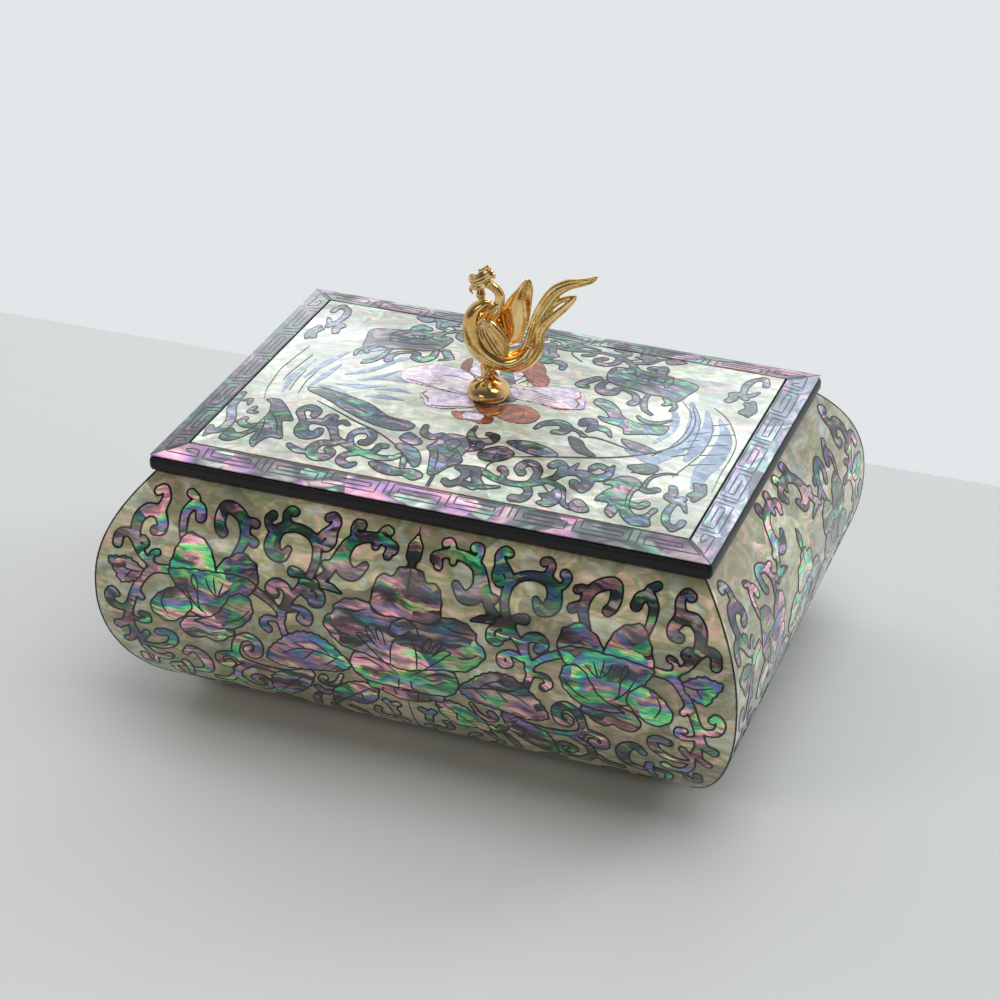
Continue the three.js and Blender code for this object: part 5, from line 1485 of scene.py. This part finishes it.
CASTING: tuple[Union[Form, Blade], ...] = (
    Form(((.4, 0, 23.6, .5, .6), (-1.2, 0, 23.0, 1.2, 1.5), (-2.9, 0, 21.2, 1.9, 2.2),
     (-3.7, 0, 18.8, 2.4, 2.7), (-3.5, 0, 16.0, 2.9, 3.0), (-2.4, 0, 13.0, 3.2, 3.1),
     (-.2, 0, 10.9, 3.1, 2.9), (3.0, 0, 9.6, 2.5, 2.6), (6.0, 0, 9.9, 2.1, 2.2), (8.6, 0, 11.9, 1.6, 1.7),
     (10.2, 0, 14.6, 1.0, 1.2)), sides=36),
    Form(((-1.6, 0, 20.4, 1.5, 1.8), (-.6, 0, 18, 2.6, 2.5), (.6, 0, 15, 3.0, 2.7), (2, 0, 12.6, 2.3, 2.4),
     (3.4, 0, 11, 1.2, 1.6)), sides=28),
    Form(((-1.9, 0, 28.0, .9, .9), (-.5, 0, 27.95, .95, .95), (1.1, 0, 27.3, 1.0, 1.0),
     (2.25, 0, 26.1, 1.05, 1.0), (2.45, 0, 24.7, 1.1, 1.05), (2.0, 0, 23.1, 1.25, 1.3),
     (1.3, 0, 21.6, 1.5, 2.0), (.5, 0, 20.2, 1.5, 2.5), (-.5, 0, 18.6, 1.1, 2.7)), strands=2),
    Form(((1.9, -.6, 23.6, .5, .5), (1.0, -1.5, 22.7, .55, .55), (-.4, -2.2, 21.2, .55, .55),
     (-1.5, -2.6, 19.4, .45, .45), (-1.8, -2.7, 18.2, .2, .2)), sides=14),
    Form(((.6, 0, 28.6, .6, .8), (-.9, 0, 28.1, 1.1, 1.2), (-2.4, 0, 27.7, 1.1, 1.15),
     (-3.6, 0, 27.2, .75, .85))),
    Form(((.7, -.1, 28.7, .4, .8), (-.6, -.1, 27.7, .5, 1.2), (-1.9, -.1, 27.2, .5, 1.35),
     (-3.3, -.1, 27.0, .5, 1.1), (-4.2, -.1, 26.5, .45, .6))),
    Form(((-3.5, 0, 27.0, .7, .7), (-4.4, 0, 26.3, .55, .5), (-4.45, 0, 25.5, .36, .34),
     (-3.9, 0, 24.8, .14, .14)), sides=14),
    Form(((-3.0, 0, 26.6, .4, .45), (-3.4, 0, 26.1, .28, .3), (-3.55, 0, 25.7, .1, .1)), sides=12),
    Form(((-2.1, 0, 26.7, .6, .6), (-2.1, 0, 26.0, .85, .85), (-2.1, 0, 25.0, 1.15, 1.1),
     (-1.8, 0, 24.2, .75, .75), (-1.3, 0, 23.6, .45, .5), (-1.0, 0, 23.0, .6, .6))),
    bead(-3.0, -1.05, 27.75, .36), bead(-3.0, 1.05, 27.75, .36),
    Form(((-4.2, -.3, 27.5, .35, .5), (-2.9, -.4, 28.1, .6, .9), (-.9, -.4, 29.3, .62, .95),
     (.9, -.2, 30.5, .5, .7), (1.3, -.1, 30.8, .25, .35))),
    Form(((-4.2, -.1, 28.4, .3, .5), (-2.9, -.2, 28.9, .55, .9), (-1.1, -.2, 30.0, .6, .9),
     (.2, -.1, 30.9, .5, .7), (.9, 0, 31.3, .25, .3))),
    Form(((-3.4, 0, 29.2, .35, .5), (-2.2, 0, 30.0, .6, .85), (-.9, 0, 30.9, .55, .75),
     (.1, 0, 31.6, .3, .35))),
    Form(((-2.5, 0, 30.5, .3, .4), (-1.7, 0, 31.1, .5, .6), (-.9, 0, 31.8, .42, .5),
     (-.4, 0, 32.2, .2, .25))),
    Form(((-4.0, -.2, 27.6, .35, .5), (-4.55, -.2, 28.5, .42, .55), (-4.3, -.2, 29.4, .42, .5),
     (-3.3, -.2, 29.7, .35, .4), (-3.0, -.2, 29.2, .2, .3)), sides=14),
    bead(1.15, -.4, 30.1, .42), bead(.1, -.1, 31.9, .34), bead(-2.4, -.1, 31.0, .38), bead(-.6, 0, 32.4, .3),
    Form(((.5, .2, 10.4, 1.5, 1.6), (4.2, .3, 10.2, 1.7, 1.6), (7.4, .3, 11.6, 1.6, 1.5),
     (9.3, .3, 14.4, 1.35, 1.4), (10.2, .3, 18, 1.25, 1.3), (11.4, .2, 21.8, 1.35, 1.2),
     (13.2, .2, 25.4, 1.5, 1.1), (15.4, .2, 28.7, 1.5, 1.0), (18.4, .2, 30.9, 1.25, .9),
     (21.4, .1, 32.0, 1.0, .75), (23.8, 0, 33.0, .7, .5), (25.2, 0, 34.1, .2, .2)), strands=3),
    Form(((-.5, -.2, 9.6, 1.2, 1.4), (3.2, -.3, 8.5, 1.3, 1.5), (7.0, -.3, 9.0, 1.3, 1.4),
     (10.0, -.3, 11.1, 1.3, 1.3), (11.8, -.3, 14.2, 1.25, 1.2), (12.2, -.3, 17.6, 1.15, 1.1),
     (13.4, -.2, 20.4, 1.1, 1.0), (15.5, -.1, 22.9, .95, .9), (17.8, 0, 25.3, .8, .7),
     (19.6, 0, 27.4, .55, .5), (20.4, 0, 28.4, .2, .2)), strands=2),
    Form(((9.8, .4, 13.6, .8, 1.0), (11.2, .4, 17.6, .85, 1.0), (12.2, .4, 21.0, .85, .9),
     (14.0, .5, 24.2, .85, .8), (16.2, .5, 26.3, .7, .7), (18.4, .4, 27.6, .5, .5),
     (20.4, .2, 28.5, .2, .2))),
    Blade((((2.9, 2.2, 12.4), (3.9, 1.9, 13.0), (4.3, 2.4, 12.6), (4.6, 3.0, 12.8), (5.0, 3.1, 13.1)),
     ((0.8, 2.8, 14.6), (3.4, 2.4, 15.1), (6.0, 3.0, 14.1), (6.2, 3.7, 14.4), (6.6, 3.7, 15.0)),
     ((-0.1, 3.1, 17.3), (3.2, 2.6, 18.3), (6.6, 3.4, 16.7), (6.7, 4.2, 17.0), (7.7, 4.0, 17.3)),
     ((0.5, 3.3, 19.4), (3.5, 2.8, 20.7), (6.8, 3.6, 19.1), (6.8, 4.3, 19.6), (8.2, 4.1, 20.1)),
     ((2.1, 3.4, 21.2), (4.4, 3.0, 22.4), (6.6, 3.6, 21.7), (6.8, 4.2, 22.2), (8.5, 4.0, 22.6)),
     ((3.6, 3.4, 23.7), (5.2, 3.1, 24.3), (6.4, 3.6, 24.1), (6.9, 4.0, 24.4), (8.8, 3.9, 24.9)),
     ((5.2, 3.4, 25.7), (6.1, 3.2, 26.3), (6.9, 3.6, 26.4), (7.4, 3.9, 26.5), (8.9, 3.8, 26.7)),
     ((6.7, 3.5, 27.8), (7.1, 3.4, 28.2), (7.5, 3.6, 28.4), (7.9, 3.7, 28.3), (8.6, 3.6, 28.1)),
     ((7.3, 3.5, 28.8), (7.5, 3.5, 28.9), (7.8, 3.5, 29.1), (7.9, 3.5, 28.9), (8.1, 3.5, 28.7)))),
    Form(((0.2, 2.4, 17.8, 0.4, 0.38), (0.6, 3.2, 19.4, 0.42, 0.4), (2.2, 3.4, 21.3, 0.4, 0.38),
     (3.7, 3.45, 23.6, 0.36, 0.35), (5.2, 3.45, 25.7, 0.3, 0.29), (6.7, 3.5, 27.8, 0.3, 0.29),
     (7.7, 3.5, 28.9, 0.25, 0.24)), sides=14),
    Blade((((-1.5, -2.2, 18.9), (-.7, -2.3, 19.2), (.1, -2.5, 19.7)), ((-.7, -2.8, 16.8), (.7, -2.6, 17.7),
     (1.7, -3.2, 19.6)), ((.2, -3.0, 14.9), (1.9, -2.6, 16.1), (3.5, -3.3, 18.2)), ((1.2, -3.0, 13.3),
     (3.1, -2.7, 14.6), (5.0, -3.3, 16.5)), ((2.5, -2.9, 12.1), (4.0, -2.7, 13.2), (5.6, -3.2, 14.6)),
     ((4.2, -2.7, 11.5), (4.8, -2.6, 12.0), (5.3, -2.9, 12.6))), 0.45, 5),
    Form(((-1.2, -2.4, 19.0, .3, .3), (.2, -2.9, 19.9, .55, .5), (1.6, -3.2, 20.0, .68, .6),
     (3.0, -3.4, 19.0, .66, .6), (4.6, -3.4, 17.2, .58, .55), (5.6, -3.3, 15.2, .5, .5),
     (5.5, -3.0, 13.2, .4, .4), (4.9, -2.8, 11.8, .2, .2)), sides=16),
    Form(((-.9, -.7, 9, 1.0, .8), (-.8, -.75, 6.8, 1.0, .75), (-.75, -.75, 5, .95, .7),
     (-.7, -.8, 3.6, 1.1, .8))),
    Form(((.5, .8, 9, 1.0, .8), (.5, .75, 6.8, .95, .75), (.45, .75, 5, .9, .7), (.4, .8, 3.6, 1.1, .8))),
    Form(((.9, -.5, 6.4, .5, .5), (1.8, -.6, 6.2, .38, .4), (2.3, -.6, 5.8, .25, .25),
     (2.1, -.6, 5.2, .1, .1)), sides=12),
    Form(((-.5, -.8, 4.6, .55, .5), (-1.2, -1.9, 4.3, .45, .45), (-2.0, -3.1, 3.5, .36, .36),
     (-2.4, -3.8, 2.6, .14, .14)), sides=12),
    Form(((-.3, -.8, 4.6, .55, .5), (.5, -2.1, 4.3, .45, .45), (1.3, -3.3, 3.4, .36, .36),
     (1.6, -4.0, 2.4, .14, .14)), sides=12),
    Form(((-.9, -.6, 4.6, .55, .5), (-2.2, -.9, 4.2, .45, .45), (-3.5, -1.2, 3.2, .36, .36),
     (-4.2, -1.3, 2.4, .14, .14)), sides=12),
    Form(((.6, .4, 4.6, .5, .5), (2.0, .2, 4.2, .42, .42), (3.3, .1, 3.3, .34, .34), (4.0, 0, 2.5, .14, .14)),
     sides=12),
    Form(((0, 0, 0, 4.4, 4.4), (0, 0, .5, 4.85, 4.85), (0, 0, 1.2, 5.0, 5.0), (0, 0, 2.0, 4.85, 4.85),
     (0, 0, 2.9, 4.25, 4.25), (0, 0, 3.7, 3.2, 3.2), (0, 0, 4.25, 1.8, 1.8), (0, 0, 4.45, .3, .3)), sides=64,
     samples=6)
)


@dataclass(frozen=True)
class Phoenix:
    """The cast bird on its round foot, one skin with soft fillets where its forms meet.

    Lengths are from the middle of the foot's underside. The forms are laid into each other and wrapped by a
    voxel skin, which is then smoothed with no loss of size: p += 0.55 L(p), then p -= 0.57 L(p), where L is
    the mean of a point's neighbours less the point.
    """

    origin: Point = (-1.0, -1.5, 68.3)
    voxel: float = 0.16
    rounds: int = 5
    shares: tuple[float, float] = (0.55, -0.57)
    forms: tuple[Union[Form, Blade], ...] = CASTING

    def skin(self) -> tuple[Array, Array]:
        """Wraps the forms in one voxel skin, in millimetres.

        Returns:
            Points and four-sided faces.
        """
        points, faces = joined([form.build() for form in self.forms])
        mesh = bpy.data.meshes.new("casting_forms")
        mesh.from_pydata(points.tolist(), [], faces.tolist())
        holder = bpy.data.objects.new("casting_forms", mesh)
        bpy.context.scene.collection.objects.link(holder)
        wrap = holder.modifiers.new("skin", "REMESH")
        wrap.mode, wrap.voxel_size, wrap.adaptivity = "VOXEL", self.voxel, 0.0
        solid = bpy.data.meshes.new_from_object(holder.evaluated_get(bpy.context.evaluated_depsgraph_get()))
        out = np.empty(3 * len(solid.vertices), np.float32)
        corners = np.empty(len(solid.loops), np.int32)
        solid.vertices.foreach_get("co", out)
        solid.loops.foreach_get("vertex_index", corners)
        bpy.data.objects.remove(holder)
        for data in (solid, mesh):
            bpy.data.meshes.remove(data)
        return out.reshape(-1, 3).astype(float), corners.reshape(-1, 4)

    def build(self) -> None:
        """Adds the bird in place of the plain casting."""
        points, faces = self.skin()
        here, there = faces.ravel(), np.roll(faces, -1, 1).ravel()
        a, b = np.concatenate([here, there]), np.concatenate([there, here])
        degree = np.bincount(a, minlength=len(points))[:, None]
        for share in self.shares * self.rounds:
            mean = np.stack([np.bincount(a, points[b, axis], len(points)) for axis in range(3)], 1) / degree
            points = points + share * (mean - points)
        points = points + self.origin
        bird = add_piece("phoenix_casting", points, faces, Finish.GOLD, "lid", "gilt", ALL_SMOOTH)
        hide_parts("phoenix_knob")


# Soft goods

@dataclass(frozen=True)
class SoftPiece:
    """A thin soft piece in the room of its CAD solid: flat where it is glued or lies, rounded at its edge.

    The corners of the solid are kept and each side pulls in by pull (1 - t ** 2) between them. At the
    distance d from the edge the skins stand apart by the full thickness times
    (1 - (1 - d / edge) ** 2) ** 0.5, and the free skin is crowned by (1 - s ** 2) (1 - t ** 2) to the power
    0.6.
    """

    name: str
    node: str
    body: str
    slot: str
    finish: Finish
    free: int = 1
    crown: float = 0.55
    pull: float = 0.7
    edge: float = 0.9
    grid: int = 61
    closing: float = 0.985

    def build(self) -> bpy.types.Object:
        """Adds the piece in place of its CAD solid."""
        low, high = (np.array(corner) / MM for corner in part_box(self.node))
        middle, half = (low + high) / 2, (high - low) / 2
        share = np.sin(np.pi / 2 * np.linspace(-1, 1, self.grid))
        s, t = (part.ravel() for part in np.meshgrid(share, share))
        x = (half[0] - self.pull * (1 - t ** 2) * np.abs(s) ** 3) * s
        y = (half[1] - self.pull * (1 - s ** 2) * np.abs(t) ** 3) * t
        gap = np.minimum(half[0] * (1 - np.abs(s)), half[1] * (1 - np.abs(t)))
        turn = np.sqrt(1 - np.clip(1 - gap / self.edge, 0, self.closing) ** 2)
        puff = 1 - self.crown * (1 - ((1 - s ** 2) * (1 - t ** 2)) ** 0.6)

        def place(u: Array, v: Array, height: float) -> Array:
            """Points of the free skin for a height of 1 and of the resting skin for -1."""
            rise = half[2] * ((2 * puff - 1) * turn if height > 0 else -turn)
            return np.stack([u, v, middle[2] + self.free * rise], -1)

        flat = np.stack([x + middle[0], y + middle[1]], 1)
        points, faces = closed_sheet(flat, grid_faces(self.grid, self.grid), place, 1.0, -1.0)
        faces = faces[:, ::self.free]
        piece = add_piece(self.name, points, faces, self.finish, self.body, self.slot, ALL_SMOOTH)
        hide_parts(self.node)
        return piece


def soft_goods() -> None:
    """Adds the two velvet pads and the felt under the base."""
    pads = (("velvet_floor", "floor_pad", "box", 1), ("velvet_ceiling", "lid_pad", "lid", -1))
    for name, node, body, free in pads:
        SoftPiece(name, node, body, "velvet", Finish.VELVET, free).build()
    felt = SoftPiece("felt_sheet", "base_felt", "box", "felt", Finish.FELT, -1, 0.0, 0.0, 0.35).build()


# Finishes of the CAD nodes that stay

NODE_FINISH: tuple[tuple[str, Finish], ...] = (
    ("shell_", Finish.WALL_GROUND), ("lid_panel", Finish.LID_GROUND), ("lid_border_left", Finish.BORDER_DARK),
    ("lid_border_right", Finish.BORDER_BLUE), ("lid_border", Finish.BORDER), ("lining", Finish.VELVET),
    ("knob_screw", Finish.STEEL), ("knob_washer", Finish.STEEL), ("phoenix", Finish.GOLD),
    ("base_felt", Finish.FELT), ("floor_pad", Finish.VELVET), ("lid_pad", Finish.VELVET), ("", Finish.BLACK),
)


def dress_nodes() -> None:
    """Gives each CAD node the finish of the first prefix that its name starts with."""
    for name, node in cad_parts.items():
        finish = next(finish for prefix, finish in NODE_FINISH if name.startswith(prefix))
        node.data.materials.clear()
        node.data.materials.append(finish.material())


# Stage

@dataclass(frozen=True)
class Studio:
    """Pale table, soft light from behind, and the camera."""

    position: Point = (182.967, -496.624, 346.929)
    target: Point = (14.798, -36.725, 63.0)
    roll: float = 0.557
    lens: float = 94.095
    table: tuple[Point, ...] = ((-1.6, -1.6, 0), (1.9, -1.6, 0), (1.9, 0.142, 0), (-1.6, 0.100, 0))
    paint: Colour = (0.500, 0.512, 0.505)
    dark: Colour = (0.09, 0.09, 0.09)
    wall: Colour = (0.66, 0.68, 0.71)
    backdrop: Colour = (0.765, 0.795, 0.808)
    windows: tuple[tuple[float, float, float, float, Colour], ...] = (
        (-28.5, 19.0, 0.095, 0.24, (1.75, 1.86, 1.98)),
        (-8.0, 30.0, 0.13, 0.25, (1.75, 1.9, 2.05)),
        (-20.0, 55.0, 0.60, 0.45, (0.85, 0.88, 0.92)),
        (-160.0, 18.0, 0.30, 0.20, (1.5, 1.45, 1.35)),
    )
    lamps: tuple[tuple[str, Point, tuple[float, float], float, Colour, bool], ...] = (
        ("window_left", (-1.25, 0.75, 0.60), (0.9, 0.8), 8.0, (0.94, 0.97, 1.0), False),
        ("window_right", (0.95, 1.00, 0.55), (0.6, 0.7), 9.5, (0.92, 0.96, 1.0), False),
        ("ceiling", (0.38, 0.12, 1.5), (1.2, 1.2), 13.4, (1.0, 1.0, 1.0), True),
        ("room", (-0.9, -1.1, 0.8), (0.6, 0.6), 6.5, (1.0, 0.92, 0.80), False),
    )

    def camera(self) -> None:
        """Sets the camera where the photograph was taken."""
        data = bpy.data.cameras.new("camera")
        data.sensor_width, data.lens = 36.0, self.lens
        data.clip_start, data.clip_end = 0.02, 40.0
        eye, aim = Vector(self.position) * MM, Vector(self.target) * MM
        back = (eye - aim).normalized()
        right = Vector((0, 0, 1)).cross(back).normalized()
        up = back.cross(right)
        angle = np.radians(self.roll)
        c, s = np.cos(angle), np.sin(angle)
        right, up = right * c + up * s, up * c - right * s
        camera = bpy.data.objects.new("camera", data)
        camera.matrix_world = Matrix.Translation(eye) @ Matrix((right, up, back)).transposed().to_4x4()
        bpy.context.scene.collection.objects.link(camera)
        bpy.context.scene.camera = camera

    @staticmethod
    def lamp(name: str, at: Sequence[float], size: tuple[float, float], watts: float, colour: Colour,
             glossy: bool) -> None:
        """Adds one soft lamp that looks at the box.

        Args:
            name: its name.
            at: its place in metres.
            size: its width and height in metres.
            watts: its power.
            colour: its tint.
            glossy: whether it shows in reflections.
        """
        data = bpy.data.lights.new(name, "AREA")
        data.shape, data.size, data.size_y, data.energy, data.color = "RECTANGLE", *size, watts, colour
        lamp = bpy.data.objects.new(name, data)
        lamp.location = at
        lamp.visible_glossy = glossy
        lamp.rotation_euler = (Vector((0, 0, 0.05)) - Vector(at)).to_track_quat("-Z", "Y").to_euler()
        bpy.context.scene.collection.objects.link(lamp)

    def floor(self) -> None:
        """Adds the pale table top."""
        mesh = bpy.data.meshes.new("table")
        mesh.from_pydata(self.table, [], [(0, 1, 2, 3)])
        table = bpy.data.objects.new("table", mesh)
        bpy.context.scene.collection.objects.link(table)
        paint = Shader("table_paint").finish({"Base Color": (*self.paint, 1.0), "Roughness": 0.6})
        mesh.materials.append(paint)

    def world(self) -> None:
        """Dark room in front, pale wall and soft windows behind."""
        world = bpy.data.worlds.new("studio")
        bpy.context.scene.world = world
        world.use_nodes = True
        s = Shader.on(world.node_tree)
        toward = s.node("ShaderNodeTexCoord", out="Generated")
        behind = s.parts("ShaderNodeSeparateXYZ", toward)[1].between(-0.7, 0.8)
        light = s.mix(behind, self.dark, self.wall)
        for *window, colour in self.windows:
            light = s.mix(1.0, light, s.mix(self._lobe(s, toward, *window), (0.0,) * 3, colour), "ADD")
        shown = s.mix(s.node("ShaderNodeLightPath", out="Is Camera Ray"), light, self.backdrop)
        glow = s.node("ShaderNodeBackground", None, {"Color": shown, "Strength": 1.0})
        s.node("ShaderNodeOutputWorld", None, {"Surface": glow})

    @staticmethod
    def _lobe(s: Shader, toward: Value, azimuth: float, height: float, wide: float, tall: float) -> Value:
        """A soft patch of sky: smooth step of 1 - (a / wide)^2 - (b / tall)^2 about its middle direction.

        Args:
            s: the world's shader.
            toward: the direction looked in.
            azimuth: degrees from +Y towards +X.
            height: degrees above the horizon.
            wide: half width as a sine.
            tall: half height as a sine.

        Returns:
            The share of the patch in that direction.
        """
        a, h = np.radians(azimuth), np.radians(height)
        aside = (float(np.cos(a)), -float(np.sin(a)), 0.0)
        upward = (-float(np.sin(a) * np.sin(h)), -float(np.cos(a) * np.sin(h)), float(np.cos(h)))
        middle = (float(np.sin(a) * np.cos(h)), float(np.cos(a) * np.cos(h)), float(np.sin(h)))
        dot = {"operation": "DOT_PRODUCT"}
        across, up, front = (s.node("ShaderNodeVectorMath", dot, {0: toward, 1: axis}, "Value")
                             for axis in (aside, upward, middle))
        across, up = across * (1 / wide), up * (1 / tall)
        return (1 - across * across - up * up).between(0.0, 1.0) * front.between(0.0, 0.1)

    def build(self) -> None:
        """Sets the stage."""
        scene = bpy.context.scene
        scene.view_settings.view_transform = "Standard"
        self.camera()
        self.floor()
        self.world()
        for lamp in self.lamps:
            self.lamp(*lamp)


def main() -> None:
    """Builds the scene in order."""
    logging.basicConfig(level=logging.INFO, format="%(message)s")
    dress_nodes()
    BelliedWalls().build()
    Lid().build()
    Phoenix().build()
    soft_goods()
    Studio().build()
    bpy.context.view_layer.update()


if __name__ == "__main__":
    main()
